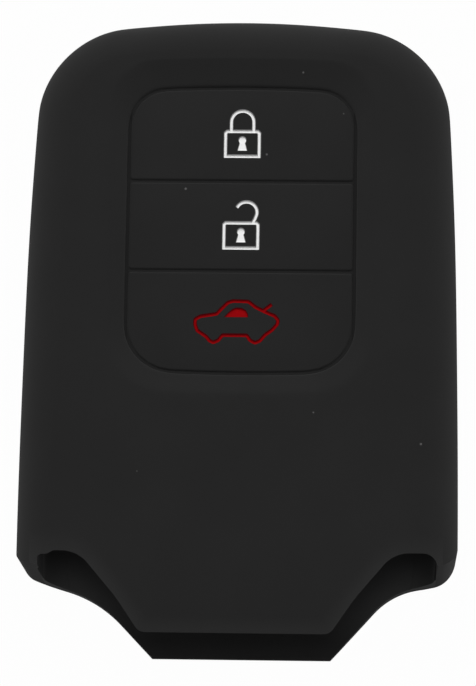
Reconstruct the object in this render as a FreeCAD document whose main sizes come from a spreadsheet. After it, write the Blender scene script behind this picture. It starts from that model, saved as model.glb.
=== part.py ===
"""Moulded silicone key fob cover: an open-mouthed sleeve with three press pads in a dished front.

The cover lies on its back: X across, Y along towards the closed top end, Z up through the front.
"""
import FreeCAD
import Part
import Sketcher
import math
import os

# Driving dimensions in millimetres, kept in the sheet under these names.
DIMENSIONS = {
    "width": "46.3",
    "length": "67.5",
    "thickness": "17",
    "side_radius": "1150",
    "top_radius": "101",
    "top_corner_radius": "10.4",
    "front_edge_radius": "4.4",
    "back_edge_radius": "4",
    "side_wall": "2",
    "front_wall": "2",
    "back_wall": "2",
    "inner_front_radius": "2.4",
    "inner_back_radius": "2",
    "shoulder_rise": "8.3",
    "shoulder_radius": "2.9",
    "shoulder_overrun": "0.15",
    "waist_inset": "6.95",
    "waist_rise": "7.35",
    "waist_radius": "11.2",
    "back_lip_inset": "13.6",
    "front_lip_inset": "13.3",
    "front_lip_setback": "0.95",
    "front_lip_corner": "1.2",
    "notch_rise": "9.3",
    "notch_outer_radius": "1.2",
    "notch_inner_radius": "3.5",
    "notch_ledge": "0.4",
    "tongue_root_inset": "6.75",
    "tongue_bend_inset": "10.95",
    "tongue_bend_rise": "4.45",
    "tongue_bend_radius": "15",
    "free_edge_round": "0.35",
    "window_side_inset": "10.95",
    "window_top_inset": "7.85",
    "window_arch_radius": "170",
    "window_top_corner": "3.9",
    "window_bottom_corner": "4.9",
    "dish_depth": "0.8",
    "dish_side_slope": "1.7",
    "dish_top_slope": "2.8",
    "dish_bottom_slope": "2.2",
    "dish_edge_round": "2.5",
    "groove": "0.4",
    "groove_depth": "0.25",
    "lock_pad_length": "9.85",
    "unlock_pad_length": "9.4",
    "trunk_pad_length": "10.65",
    "pad_edge_round": "0.25",
    "web_thickness": "0.4",
    "press_gap": "0.05",
    "icon_depth": "0.45",
    "inlay_thickness": "0.2",
    "icon_stroke": "0.42",
    "icon_corner": "0.25",
    "padlock_crisp_corner": "0.08",
    "padlock_width": "4",
    "padlock_body_height": "3.15",
    "shackle_width": "2.8",
    "shackle_rise": "2.25",
    "shackle_round": "1.3",
    "hook_radius": "1.1",
    "hook_offset": "0.6",
    "keyhole_radius": "0.43",
    "keyhole_neck_width": "0.6",
    "keyhole_foot_width": "1.1",
    "keyhole_height": "1.62",
    "keyhole_lift": "0.8",
    "car_length": "8.52",
    "car_height": "4.58",
    "car_window_length": "2.5",
    "car_window_height": "0.95",
    "car_window_sill_corner": "0.075",
    "car_window_roof_corner": "0.6",
    "lid_length": "1.1",
    "car_shift": "0.2",
}

DOCUMENT = FreeCAD.newDocument("key_fob_cover")
SHEET = DOCUMENT.addObject("Spreadsheet::Sheet", "dims")


class Size:
    """A length or a number that keeps its value together with the sheet expression behind it."""

    def __init__(self, value, text):
        self.value = float(value)
        self.text = text

    @staticmethod
    def of(thing):
        """Return a Size for a Size or a plain number."""
        if isinstance(thing, Size):
            return thing
        return Size(thing, "%.9g" % thing)

    def __add__(self, other):
        other = Size.of(other)
        return Size(self.value + other.value, "(%s + %s)" % (self.text, other.text))

    def __sub__(self, other):
        other = Size.of(other)
        return Size(self.value - other.value, "(%s - %s)" % (self.text, other.text))

    def __mul__(self, other):
        other = Size.of(other)
        return Size(self.value * other.value, "(%s * %s)" % (self.text, other.text))

    def __truediv__(self, other):
        other = Size.of(other)
        return Size(self.value / other.value, "(%s / %s)" % (self.text, other.text))

    def __neg__(self):
        return Size(-self.value, "(0 - %s)" % self.text)


def fill_sheet():
    """Write the driving dimensions into the sheet and return them as Sizes by name."""
    sizes = {}
    for row, (name, number) in enumerate(DIMENSIONS.items(), start=1):
        SHEET.set("A%d" % row, name)
        SHEET.set("B%d" % row, number)
        SHEET.setAlias("B%d" % row, name)
        sizes[name] = Size(number, "dims." + name)
    DOCUMENT.recompute()
    return sizes


D = fill_sheet()

HALF_WIDTH = D["width"] / 2
HALF_LENGTH = D["length"] / 2
CEILING = D["thickness"] - D["front_wall"]
PAD_TOP = D["thickness"] - D["dish_depth"]
PAD_THICKNESS = PAD_TOP - CEILING
WEB_TOP = PAD_TOP - D["groove_depth"]
WEB_BOTTOM = WEB_TOP - D["web_thickness"]
MIDDLE = D["thickness"] / 2
BEYOND_LIP = D["side_wall"]

# Places round the mouth, each held by its inset from the side and its rise above the mouth's end.
SHOULDER_Y = D["shoulder_rise"] - HALF_LENGTH
WAIST_X = HALF_WIDTH - D["waist_inset"]
WAIST_Y = D["waist_rise"] - HALF_LENGTH
BACK_LIP_X = HALF_WIDTH - D["back_lip_inset"]
NOTCH_Y = D["notch_rise"] - HALF_LENGTH
TONGUE_ROOT_X = HALF_WIDTH - D["tongue_root_inset"]
TONGUE_BEND_X = HALF_WIDTH - D["tongue_bend_inset"]
TONGUE_BEND_Y = D["tongue_bend_rise"] - HALF_LENGTH
FRONT_LIP_X = HALF_WIDTH - D["front_lip_inset"]
FRONT_LIP_Y = D["front_lip_setback"] - HALF_LENGTH

WINDOW_HALF_WIDTH = HALF_WIDTH - D["window_side_inset"]
WINDOW_TOP = HALF_LENGTH - D["window_top_inset"]
LOCK_TOP = WINDOW_TOP - D["groove"]
LOCK_BOTTOM = LOCK_TOP - D["lock_pad_length"]
UNLOCK_TOP = LOCK_BOTTOM - D["groove"]
UNLOCK_BOTTOM = UNLOCK_TOP - D["unlock_pad_length"]
TRUNK_TOP = UNLOCK_BOTTOM - D["groove"]
TRUNK_BOTTOM = TRUNK_TOP - D["trunk_pad_length"]
WINDOW_BOTTOM = TRUNK_BOTTOM - D["groove"]

LOCK_CENTRE = (LOCK_TOP + LOCK_BOTTOM) / 2
UNLOCK_CENTRE = (UNLOCK_TOP + UNLOCK_BOTTOM) / 2
TRUNK_CENTRE = (TRUNK_TOP + TRUNK_BOTTOM) / 2

START, END, CENTRE = 1, 2, 3
ORIGIN, X_AXIS, Y_AXIS = -1, -1, -2


def new_body(label):
    """Start a sub-part and return its body."""
    body = DOCUMENT.addObject("PartDesign::Body", label)
    body.Label = label
    return body


def new_sketch(body, name, height, along=None):
    """Return a sketch on the body's XY plane, raised to a height and moved along Y."""
    plane = next(item for item in body.Origin.OriginFeatures if item.Role == "XY_Plane")
    sketch = body.newObject("Sketcher::SketchObject", name)
    sketch.AttachmentSupport = [(plane, "")]
    sketch.MapMode = "FlatFace"
    sketch.setExpression("AttachmentOffset.Base.z", Size.of(height).text)
    if along is not None:
        sketch.setExpression("AttachmentOffset.Base.y", along.text)
    return sketch


def dimension(sketch, kind, places, size):
    """Add a dimension of the given kind between places and bind it to the sheet."""
    index = sketch.addConstraint(Sketcher.Constraint(kind, *places, size.value))
    sketch.setExpression("Constraints[%d]" % index, size.text)


def pin(sketch, item, spot, across=None, along=None):
    """Fix a spot of a sketch item by its distances from the sketch's origin."""
    if across is not None and abs(across.value) > 1e-9:
        dimension(sketch, "DistanceX", (ORIGIN, START, item, spot), across)
    elif across is not None:
        sketch.addConstraint(Sketcher.Constraint("PointOnObject", item, spot, Y_AXIS))
    if along is not None and abs(along.value) > 1e-9:
        dimension(sketch, "DistanceY", (ORIGIN, START, item, spot), along)
    elif along is not None:
        sketch.addConstraint(Sketcher.Constraint("PointOnObject", item, spot, X_AXIS))


def add_line(sketch, first, last):
    """Draw a line between two points and return its number."""
    return sketch.addGeometry(Part.LineSegment(FreeCAD.Vector(*first), FreeCAD.Vector(*last)), False)


def add_arc(sketch, centre, first, last):
    """Draw the arc that turns left about its centre from first to last, and return its number."""
    radius = math.dist(centre, first)
    begin = math.atan2(first[1] - centre[1], first[0] - centre[0])
    finish = math.atan2(last[1] - centre[1], last[0] - centre[0])
    if finish <= begin:
        finish += 2 * math.pi
    circle = Part.Circle(FreeCAD.Vector(*centre), FreeCAD.Vector(0, 0, 1), radius)
    return sketch.addGeometry(Part.ArcOfCircle(circle, begin, finish), False)


def join(sketch, first, first_spot, second, second_spot, smooth):
    """Join the ends of two sketch items, tangent to each other if smooth."""
    kind = "Tangent" if smooth else "Coincident"
    sketch.addConstraint(Sketcher.Constraint(kind, first, first_spot, second, second_spot))


def towards(start, finish, distance):
    """Return the point at a distance from start on the way to finish."""
    share = distance / math.dist(start, finish)
    return tuple(a + (b - a) * share for a, b in zip(start, finish))


def rounded_polygon(sketch, corners):
    """Draw a closed polygon from (across, along, radius) corners, rounding those with a radius.

    A rounded corner keeps its sharp point as a construction point, pinned where the two sides meet.
    """
    points = [(Size.of(x).value, Size.of(y).value) for x, y, _ in corners]
    count = len(corners)
    arrivals, departures, arcs = [], [], []
    for here in range(count):
        before, at, after = points[here - 1], points[here], points[(here + 1) % count]
        radius = corners[here][2]
        if radius is None:
            arrivals.append(at)
            departures.append(at)
            arcs.append(None)
            continue
        inward = (at[0] - before[0], at[1] - before[1])
        outward = (after[0] - at[0], after[1] - at[1])
        turn = inward[0] * outward[1] - inward[1] * outward[0]
        bend = math.atan2(turn, inward[0] * outward[0] + inward[1] * outward[1])
        reach = radius.value * abs(math.tan(bend / 2))
        arrive, depart = towards(at, before, reach), towards(at, after, reach)
        middle = ((arrive[0] + depart[0]) / 2, (arrive[1] + depart[1]) / 2)
        centre = towards(at, middle, radius.value / math.cos(bend / 2))
        arrivals.append(arrive)
        departures.append(depart)
        arcs.append((centre, turn > 0))
    sides = [add_line(sketch, departures[k], arrivals[(k + 1) % count]) for k in range(count)]
    for here in range(count):
        across, along, radius = corners[here]
        side_in, side_out = sides[here - 1], sides[here]
        if radius is None:
            join(sketch, side_in, END, side_out, START, False)
            pin(sketch, side_out, START, Size.of(across), Size.of(along))
            continue
        centre, turns_left = arcs[here]
        if turns_left:
            arc = add_arc(sketch, centre, arrivals[here], departures[here])
            first_spot, last_spot = START, END
        else:
            arc = add_arc(sketch, centre, departures[here], arrivals[here])
            first_spot, last_spot = END, START
        join(sketch, side_in, END, arc, first_spot, True)
        join(sketch, arc, last_spot, side_out, START, True)
        dimension(sketch, "Radius", (arc,), radius)
        corner = sketch.addGeometry(Part.Point(FreeCAD.Vector(*points[here])), True)
        sketch.addConstraint(Sketcher.Constraint("PointOnObject", corner, START, side_in))
        sketch.addConstraint(Sketcher.Constraint("PointOnObject", corner, START, side_out))
        pin(sketch, corner, START, Size.of(across), Size.of(along))


def meeting_of_circles(first_centre, first_radius, second_centre, second_radius):
    """Return the right-hand upper point where two circles cross."""
    gap = math.dist(first_centre, second_centre)
    along = (first_radius ** 2 - second_radius ** 2 + gap ** 2) / (2 * gap)
    off = math.sqrt(first_radius ** 2 - along ** 2)
    step = tuple((b - a) / gap for a, b in zip(first_centre, second_centre))
    middle = tuple(a + s * along for a, s in zip(first_centre, step))
    choices = [(middle[0] - sign * off * step[1], middle[1] + sign * off * step[0]) for sign in (1, -1)]
    return max(choices)


def pouch_outline(sketch, inset, bottom):
    """Draw the sleeve's plan inset from its outside: bowed sides, arched top, straight mouth line."""
    side_radius = D["side_radius"] - inset
    top_radius = D["top_radius"] - inset
    corner_radius = D["top_corner_radius"] - inset
    side_x = HALF_WIDTH - D["side_radius"]
    side_y = SHOULDER_Y
    top_y = HALF_LENGTH - D["top_radius"]
    side_centre = (side_x.value, side_y.value)
    top_centre = (0.0, top_y.value)
    corner = meeting_of_circles(
        side_centre,
        side_radius.value - corner_radius.value,
        top_centre,
        top_radius.value - corner_radius.value,
    )
    side_end = towards(side_centre, corner, side_radius.value)
    top_end = towards(top_centre, corner, top_radius.value)
    drop = bottom.value - side_centre[1]
    foot = (side_centre[0] + math.sqrt(side_radius.value ** 2 - drop ** 2), bottom.value)

    def mirror(point):
        return (-point[0], point[1])

    mouth = add_line(sketch, mirror(foot), foot)
    right = add_arc(sketch, side_centre, foot, side_end)
    right_corner = add_arc(sketch, corner, side_end, top_end)
    top = add_arc(sketch, top_centre, top_end, mirror(top_end))
    left_corner = add_arc(sketch, mirror(corner), mirror(top_end), mirror(side_end))
    left = add_arc(sketch, mirror(side_centre), mirror(side_end), mirror(foot))
    chain = [mouth, right, right_corner, top, left_corner, left]
    for number, item in enumerate(chain):
        following = chain[(number + 1) % len(chain)]
        join(sketch, item, END, following, START, mouth not in (item, following))
    sketch.addConstraint(Sketcher.Constraint("Horizontal", mouth))
    pin(sketch, mouth, START, along=bottom)
    for arc, radius in (
        (right, side_radius),
        (left, side_radius),
        (right_corner, corner_radius),
        (left_corner, corner_radius),
        (top, top_radius),
    ):
        dimension(sketch, "Radius", (arc,), radius)
    pin(sketch, top, CENTRE, Size.of(0), top_y)
    pin(sketch, right, CENTRE, side_x, side_y)
    pin(sketch, left, CENTRE, -side_x, side_y)


def panel_outline(sketch, half_width, top, bottom, arch, top_corner, bottom_corner):
    """Draw the pad panel's plan: straight sides, slightly arched ends and four round corners."""
    top_centre = (0.0, top.value - arch.value)
    bottom_centre = (0.0, bottom.value + arch.value)
    upper_x = half_width.value - top_corner.value
    upper_reach = arch.value - top_corner.value
    upper = (upper_x, top_centre[1] + math.sqrt(upper_reach ** 2 - upper_x ** 2))
    lower_x = half_width.value - bottom_corner.value
    lower_reach = arch.value - bottom_corner.value
    lower = (lower_x, bottom_centre[1] - math.sqrt(lower_reach ** 2 - lower_x ** 2))
    top_end = towards(top_centre, upper, arch.value)
    bottom_end = towards(bottom_centre, lower, arch.value)
    side_top = (half_width.value, upper[1])
    side_bottom = (half_width.value, lower[1])

    def mirror(point):
        return (-point[0], point[1])

    right = add_line(sketch, side_bottom, side_top)
    upper_right = add_arc(sketch, upper, side_top, top_end)
    crown = add_arc(sketch, top_centre, top_end, mirror(top_end))
    upper_left = add_arc(sketch, mirror(upper), mirror(top_end), mirror(side_top))
    left = add_line(sketch, mirror(side_top), mirror(side_bottom))
    lower_left = add_arc(sketch, mirror(lower), mirror(side_bottom), mirror(bottom_end))
    base = add_arc(sketch, bottom_centre, mirror(bottom_end), bottom_end)
    lower_right = add_arc(sketch, lower, bottom_end, side_bottom)
    chain = [right, upper_right, crown, upper_left, left, lower_left, base, lower_right]
    for number, item in enumerate(chain):
        join(sketch, item, END, chain[(number + 1) % len(chain)], START, True)
    for side, across in ((right, half_width), (left, -half_width)):
        sketch.addConstraint(Sketcher.Constraint("Vertical", side))
        pin(sketch, side, START, across=across)
    for arc, radius in (
        (crown, arch),
        (base, arch),
        (upper_right, top_corner),
        (upper_left, top_corner),
        (lower_right, bottom_corner),
        (lower_left, bottom_corner),
    ):
        dimension(sketch, "Radius", (arc,), radius)
    pin(sketch, crown, CENTRE, Size.of(0), top - arch)
    pin(sketch, base, CENTRE, Size.of(0), bottom + arch)


def window_panel(sketch, inset):
    """Draw the pad window's outline, moved inwards by an inset."""
    panel_outline(
        sketch,
        WINDOW_HALF_WIDTH - inset,
        WINDOW_TOP - inset,
        WINDOW_BOTTOM + inset,
        D["window_arch_radius"] - inset,
        D["window_top_corner"] - inset,
        D["window_bottom_corner"] - inset,
    )


def dish_panel(sketch, share):
    """Draw the dish's outline where its slope has run a share of its width beyond the window."""
    side = D["dish_side_slope"] * share
    top = D["dish_top_slope"] * share
    bottom = D["dish_bottom_slope"] * share
    panel_outline(
        sketch,
        WINDOW_HALF_WIDTH + side,
        WINDOW_TOP + top,
        WINDOW_BOTTOM - bottom,
        D["window_arch_radius"] + top,
        D["window_top_corner"] + (side + top) / 2,
        D["window_bottom_corner"] + (side + bottom) / 2,
    )


def pad_feature(body, sketch, name, length):
    """Raise a sketch by a length and return the feature."""
    feature = body.newObject("PartDesign::Pad", name)
    feature.Profile = sketch
    feature.setExpression("Length", length.text)
    DOCUMENT.recompute()
    return feature


def pocket_feature(body, sketch, name, depth):
    """Sink a sketch by a depth, check that it took material away, and return the feature."""
    before = body.Shape.Volume
    feature = body.newObject("PartDesign::Pocket", name)
    feature.Profile = sketch
    feature.setExpression("Length", depth.text)
    DOCUMENT.recompute()
    if body.Shape.Volume > before - 1e-3:
        raise RuntimeError(name + " took nothing away")
    return feature


def round_edges(body, name, radius, wanted):
    """Round the edges of the body's newest feature that the wanted test accepts."""
    base = body.Tip
    edges = ["Edge%d" % number for number, edge in enumerate(base.Shape.Edges, start=1) if wanted(edge)]
    feature = body.newObject("PartDesign::Fillet", name)
    feature.Base = (base, edges)
    feature.setExpression("Radius", radius.text)
    DOCUMENT.recompute()
    return feature


def lies_at(edge, height):
    """Say whether a whole edge lies at one height."""
    box = edge.BoundBox
    return abs(box.ZMin - height.value) < 1e-4 and abs(box.ZMax - height.value) < 1e-4


def on_mouth_line(edge):
    """Say whether a whole edge lies in the plane of the back lip."""
    return edge.BoundBox.YMax < -HALF_LENGTH.value + 1e-4


def cut_lower_corners(body):
    """Trim the lower corners through the whole depth, leaving rounded shoulders and the lip's flanks."""
    outside = HALF_WIDTH + D["side_wall"]
    corner_x = HALF_WIDTH + D["shoulder_overrun"]
    run = D["waist_rise"] / (WAIST_X - BACK_LIP_X)
    end_x = BACK_LIP_X - BEYOND_LIP / run
    end_y = -(HALF_LENGTH + BEYOND_LIP)
    start_y = SHOULDER_Y + D["shoulder_radius"] * 2
    sketch = new_sketch(body, "lower_corner_plan", D["thickness"])
    for side in (1, -1):
        rounded_polygon(sketch, [
            (corner_x * side, start_y, None),
            (corner_x * side, SHOULDER_Y, D["shoulder_radius"]),
            (WAIST_X * side, WAIST_Y, D["waist_radius"]),
            (end_x * side, end_y, None),
            (outside * side, end_y, None),
            (outside * side, start_y, None),
        ])
    pocket_feature(body, sketch, "lower_corners", D["thickness"])


def cut_front_notches(body):
    """Cut the front panel back either side of its tongue, and shorten the tongue's lip."""
    ear_x = HALF_WIDTH - D["side_wall"] - D["notch_ledge"]
    end_y = -(HALF_LENGTH + BEYOND_LIP)
    right = [
        (ear_x, end_y, None),
        (ear_x, NOTCH_Y, D["notch_outer_radius"]),
        (TONGUE_ROOT_X, NOTCH_Y, D["notch_inner_radius"]),
        (TONGUE_BEND_X, TONGUE_BEND_Y, D["tongue_bend_radius"]),
        (FRONT_LIP_X, FRONT_LIP_Y, D["front_lip_corner"]),
    ]
    left = [(-across, along, radius) for across, along, radius in reversed(right)]
    sketch = new_sketch(body, "front_notch_plan", D["thickness"])
    rounded_polygon(sketch, right + left)
    pocket_feature(body, sketch, "front_notches", MIDDLE)


def cut_dish_and_window(body):
    """Open the pad window in the front and slope the front down to it all round."""
    window = new_sketch(body, "window_plan", D["thickness"])
    window_panel(window, Size.of(0))
    pocket_feature(body, window, "window", MIDDLE)
    before = body.Shape.Volume
    lower = new_sketch(body, "dish_lower_plan", PAD_TOP - D["dish_depth"] / 2)
    dish_panel(lower, -0.5)
    upper = new_sketch(body, "dish_upper_plan", D["thickness"] + D["dish_depth"] / 2)
    dish_panel(upper, 1.5)
    loft = body.newObject("PartDesign::SubtractiveLoft", "dish")
    loft.Profile = lower
    loft.Sections = [upper]
    loft.Ruled = True
    DOCUMENT.recompute()
    if body.Shape.Volume > before - 1e-3:
        raise RuntimeError("the dish took nothing away")


def is_dish_rim(edge):
    """Say whether an edge is where the dish's slope meets the flat front."""
    return (
        lies_at(edge, D["thickness"])
        and edge.BoundBox.YMin > WINDOW_BOTTOM.value - 2 * D["dish_bottom_slope"].value
        and max(abs(edge.BoundBox.XMin), abs(edge.BoundBox.XMax))
        < WINDOW_HALF_WIDTH.value + 2 * D["dish_side_slope"].value
        and edge.BoundBox.YMax < WINDOW_TOP.value + 1.5 * D["dish_top_slope"].value
    )


def is_free_front_edge(edge):
    """Say whether an edge is one of the flat front's free edges round the tongue and notches."""
    return lies_at(edge, D["thickness"]) and edge.BoundBox.YMax < NOTCH_Y.value + 0.01


def make_sleeve():
    """Build the sleeve: rounded pouch, hollow, trimmed mouth, notches, dish and window."""
    body = new_body("sleeve")
    plan = new_sketch(body, "sleeve_plan", 0)
    pouch_outline(plan, Size.of(0), -HALF_LENGTH)
    pad_feature(body, plan, "sleeve_block", D["thickness"])
    round_edges(
        body,
        "front_edges",
        D["front_edge_radius"],
        lambda edge: lies_at(edge, D["thickness"]) and not on_mouth_line(edge),
    )
    round_edges(
        body,
        "back_edges",
        D["back_edge_radius"],
        lambda edge: lies_at(edge, Size.of(0)) and not on_mouth_line(edge),
    )
    hollow = new_sketch(body, "hollow_plan", CEILING)
    pouch_outline(hollow, D["side_wall"], -(HALF_LENGTH + BEYOND_LIP))
    pocket_feature(body, hollow, "hollow", CEILING - D["back_wall"])
    round_edges(
        body,
        "hollow_front_edges",
        D["inner_front_radius"],
        lambda edge: lies_at(edge, CEILING) and not on_mouth_line(edge),
    )
    round_edges(
        body,
        "hollow_back_edges",
        D["inner_back_radius"],
        lambda edge: lies_at(edge, D["back_wall"]) and not on_mouth_line(edge),
    )
    cut_lower_corners(body)
    cut_front_notches(body)
    cut_dish_and_window(body)
    round_edges(body, "dish_rim", D["dish_edge_round"], is_dish_rim)
    round_edges(body, "free_front_edges", D["free_edge_round"], is_free_front_edge)
    return body


def strip_plan(body, name, height, top, bottom):
    """Return a sketch of a strip across the window between two places along it."""
    sketch = new_sketch(body, name, height)
    rounded_polygon(sketch, [
        (-WINDOW_HALF_WIDTH, bottom, None),
        (WINDOW_HALF_WIDTH, bottom, None),
        (WINDOW_HALF_WIDTH, top, None),
        (-WINDOW_HALF_WIDTH, top, None),
    ])
    return sketch


def make_web():
    """Build the thin flexing web that closes the groove floor round the three pads."""
    body = new_body("button_web")
    plan = new_sketch(body, "web_plan", WEB_BOTTOM)
    window_panel(plan, Size.of(0))
    pad_feature(body, plan, "web_sheet", D["web_thickness"])
    opening = new_sketch(body, "web_opening_plan", WEB_TOP)
    window_panel(opening, D["groove"] - D["press_gap"])
    pocket_feature(body, opening, "web_opening", D["web_thickness"])
    half_bar = WINDOW_HALF_WIDTH - D["groove"] / 2
    for name, bar_top, bar_bottom in (
        ("upper_bar", LOCK_BOTTOM, UNLOCK_TOP),
        ("lower_bar", UNLOCK_BOTTOM, TRUNK_TOP),
    ):
        sketch = new_sketch(body, name + "_plan", WEB_BOTTOM)
        rounded_polygon(sketch, [
            (-half_bar, bar_bottom + D["press_gap"], None),
            (half_bar, bar_bottom + D["press_gap"], None),
            (half_bar, bar_top - D["press_gap"], None),
            (-half_bar, bar_top - D["press_gap"], None),
        ])
        pad_feature(body, sketch, name, D["web_thickness"])
    return body


def make_pad(label, top, bottom):
    """Build the plain press pad that fills the window between two places along it."""
    body = new_body(label)
    plan = new_sketch(body, label + "_plan", CEILING)
    window_panel(plan, D["groove"])
    pad_feature(body, plan, label + "_block", PAD_THICKNESS)
    if bottom.value > TRUNK_BOTTOM.value:
        below = strip_plan(body, label + "_lower_trim_plan", PAD_TOP, bottom, WINDOW_BOTTOM)
        pocket_feature(body, below, label + "_lower_trim", PAD_THICKNESS)
    if top.value < LOCK_TOP.value:
        above = strip_plan(body, label + "_upper_trim_plan", PAD_TOP, WINDOW_TOP, top)
        pocket_feature(body, above, label + "_upper_trim", PAD_THICKNESS)
    round_edges(body, label + "_rim", D["pad_edge_round"], lambda edge: lies_at(edge, PAD_TOP))
    return body


PADLOCK_HEIGHT = D["padlock_body_height"] + D["shackle_rise"]
PADLOCK_BOTTOM = -PADLOCK_HEIGHT / 2
PADLOCK_BODY_TOP = PADLOCK_BOTTOM + D["padlock_body_height"]

# Directions of the open shackle's foot and free end about its centre, and of the car's raised lid.
HOOK_LEG_ANGLE = math.radians(-15)
HOOK_TIP_ANGLE = math.radians(147)
LID_ANGLE = math.radians(38)

# Where the lid's stroke starts and the window's sill lies, as shares of the car's length and height.
LID_FOOT_SHARES = (0.335, 0.27)
WINDOW_SILL_SHARE = 0.1

# Rounding of the lid's free end as a share of half its line's width.
LID_END_SHARE = 0.8


def rectangle_corners(left, right, bottom, top, low_radius, high_radius):
    """Return the corners of a rectangle with one radius on the lower two and one on the upper two."""
    return [(left, bottom, low_radius), (right, bottom, low_radius), (right, top, high_radius), (left, top, high_radius)]


def padlock_body_hole(sketch):
    """Draw the inside edge of a padlock's body line."""
    inside = D["padlock_width"] / 2 - D["icon_stroke"]
    low = PADLOCK_BOTTOM + D["icon_stroke"]
    high = PADLOCK_BODY_TOP - D["icon_stroke"]
    corner = D["icon_corner"]
    rounded_polygon(sketch, rectangle_corners(-inside, inside, low, high, corner, corner))


def closed_padlock(sketch):
    """Draw a padlock whose shackle is shut, as one line of even width."""
    half = D["padlock_width"] / 2
    shackle = D["shackle_width"] / 2
    top = PADLOCK_BODY_TOP + D["shackle_rise"]
    round_top = D["shackle_round"]
    right = [
        (half, PADLOCK_BOTTOM, D["icon_corner"]),
        (half, PADLOCK_BODY_TOP, D["padlock_crisp_corner"]),
        (shackle, PADLOCK_BODY_TOP, None),
        (shackle, top, round_top),
    ]
    left = [(-across, along, radius) for across, along, radius in reversed(right)]
    rounded_polygon(sketch, right + left)
    padlock_body_hole(sketch)
    inside = shackle - D["icon_stroke"]
    inner_round = round_top - D["icon_stroke"]
    rounded_polygon(sketch, [
        (-inside, PADLOCK_BODY_TOP, None),
        (inside, PADLOCK_BODY_TOP, None),
        (inside, top - D["icon_stroke"], inner_round),
        (-inside, top - D["icon_stroke"], inner_round),
    ])


def padlock_frame(sketch):
    """Draw a padlock's body line alone."""
    half = D["padlock_width"] / 2
    low_corner, high_corner = D["icon_corner"], D["padlock_crisp_corner"]
    rounded_polygon(sketch, rectangle_corners(-half, half, PADLOCK_BOTTOM, PADLOCK_BODY_TOP, low_corner, high_corner))
    padlock_body_hole(sketch)


def open_shackle(sketch):
    """Draw the swung shackle of an open padlock: a leg, an arc and a round free end."""
    centre_x = D["hook_offset"]
    centre_y = PADLOCK_BODY_TOP + D["shackle_rise"] - D["hook_radius"] - D["icon_stroke"] / 2
    centre = (centre_x.value, centre_y.value)
    outer = D["hook_radius"] + D["icon_stroke"] / 2
    inner = D["hook_radius"] - D["icon_stroke"] / 2
    foot_y = PADLOCK_BODY_TOP - D["icon_stroke"] / 2

    def on_ring(radius, angle):
        return (centre[0] + radius.value * math.cos(angle), centre[1] + radius.value * math.sin(angle))

    def foot_below(point):
        fall = point[1] - foot_y.value
        return (point[0] + fall * math.tan(HOOK_LEG_ANGLE), foot_y.value)

    outer_leg, inner_leg = on_ring(outer, HOOK_LEG_ANGLE), on_ring(inner, HOOK_LEG_ANGLE)
    outer_tip, inner_tip = on_ring(outer, HOOK_TIP_ANGLE), on_ring(inner, HOOK_TIP_ANGLE)
    outer_arc = add_arc(sketch, centre, outer_leg, outer_tip)
    tip = add_arc(sketch, on_ring(D["hook_radius"], HOOK_TIP_ANGLE), outer_tip, inner_tip)
    inner_arc = add_arc(sketch, centre, inner_leg, inner_tip)
    inner_side = add_line(sketch, inner_leg, foot_below(inner_leg))
    foot = add_line(sketch, foot_below(inner_leg), foot_below(outer_leg))
    outer_side = add_line(sketch, foot_below(outer_leg), outer_leg)
    join(sketch, outer_arc, END, tip, START, True)
    join(sketch, tip, END, inner_arc, END, True)
    join(sketch, inner_arc, START, inner_side, START, True)
    join(sketch, inner_side, END, foot, START, False)
    join(sketch, foot, END, outer_side, START, False)
    join(sketch, outer_side, END, outer_arc, START, True)
    sketch.addConstraint(Sketcher.Constraint("Coincident", inner_arc, CENTRE, outer_arc, CENTRE))
    sketch.addConstraint(Sketcher.Constraint("Parallel", inner_side, outer_side))
    sketch.addConstraint(Sketcher.Constraint("Horizontal", foot))
    pin(sketch, outer_arc, CENTRE, centre_x, centre_y)
    dimension(sketch, "Radius", (outer_arc,), outer)
    dimension(sketch, "Radius", (inner_arc,), inner)
    pin(sketch, foot, START, along=foot_y)
    pin(sketch, outer_arc, START, along=centre_y + outer * math.sin(HOOK_LEG_ANGLE))
    pin(sketch, tip, CENTRE, along=centre_y + D["hook_radius"] * math.sin(HOOK_TIP_ANGLE))


def keyhole(sketch):
    """Draw a keyhole: a round head running into a flared foot."""
    bottom = PADLOCK_BOTTOM + D["keyhole_lift"]
    head_y = bottom + D["keyhole_height"] - D["keyhole_radius"]
    neck = D["keyhole_neck_width"] / 2
    foot = D["keyhole_foot_width"] / 2
    drop = math.sqrt(D["keyhole_radius"].value ** 2 - neck.value ** 2)
    neck_y = head_y.value - drop
    head = add_arc(sketch, (0.0, head_y.value), (neck.value, neck_y), (-neck.value, neck_y))
    left = add_line(sketch, (-neck.value, neck_y), (-foot.value, bottom.value))
    base = add_line(sketch, (-foot.value, bottom.value), (foot.value, bottom.value))
    right = add_line(sketch, (foot.value, bottom.value), (neck.value, neck_y))
    join(sketch, head, END, left, START, False)
    join(sketch, left, END, base, START, False)
    join(sketch, base, END, right, START, False)
    join(sketch, right, END, head, START, False)
    pin(sketch, head, CENTRE, Size.of(0), head_y)
    dimension(sketch, "Radius", (head,), D["keyhole_radius"])
    pin(sketch, head, START, across=neck)
    pin(sketch, head, END, across=-neck)
    pin(sketch, base, START, -foot, bottom)
    pin(sketch, base, END, foot, bottom)


# The car's middle line as shares of its length and height, with each corner's rounding in millimetres.
CAR_CORNERS = (
    (-0.500, 0.075, 0.55),
    (-0.232, 0.175, 0.5),
    (-0.078, 0.470, 0.55),
    (0.140, 0.445, 0.5),
    (0.300, 0.250, 0.6),
    (0.500, 0.095, 0.5),
    (0.500, -0.130, 0.55),
    (0.312, -0.365, 0.35),
    (0.268, -0.500, 0.32),
    (0.195, -0.500, 0.35),
    (0.125, -0.325, 0.3),
    (-0.155, -0.325, 0.3),
    (-0.240, -0.500, 0.35),
    (-0.308, -0.500, 0.32),
    (-0.360, -0.350, 0.3),
    (-0.480, -0.240, 0.55),
)


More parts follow.
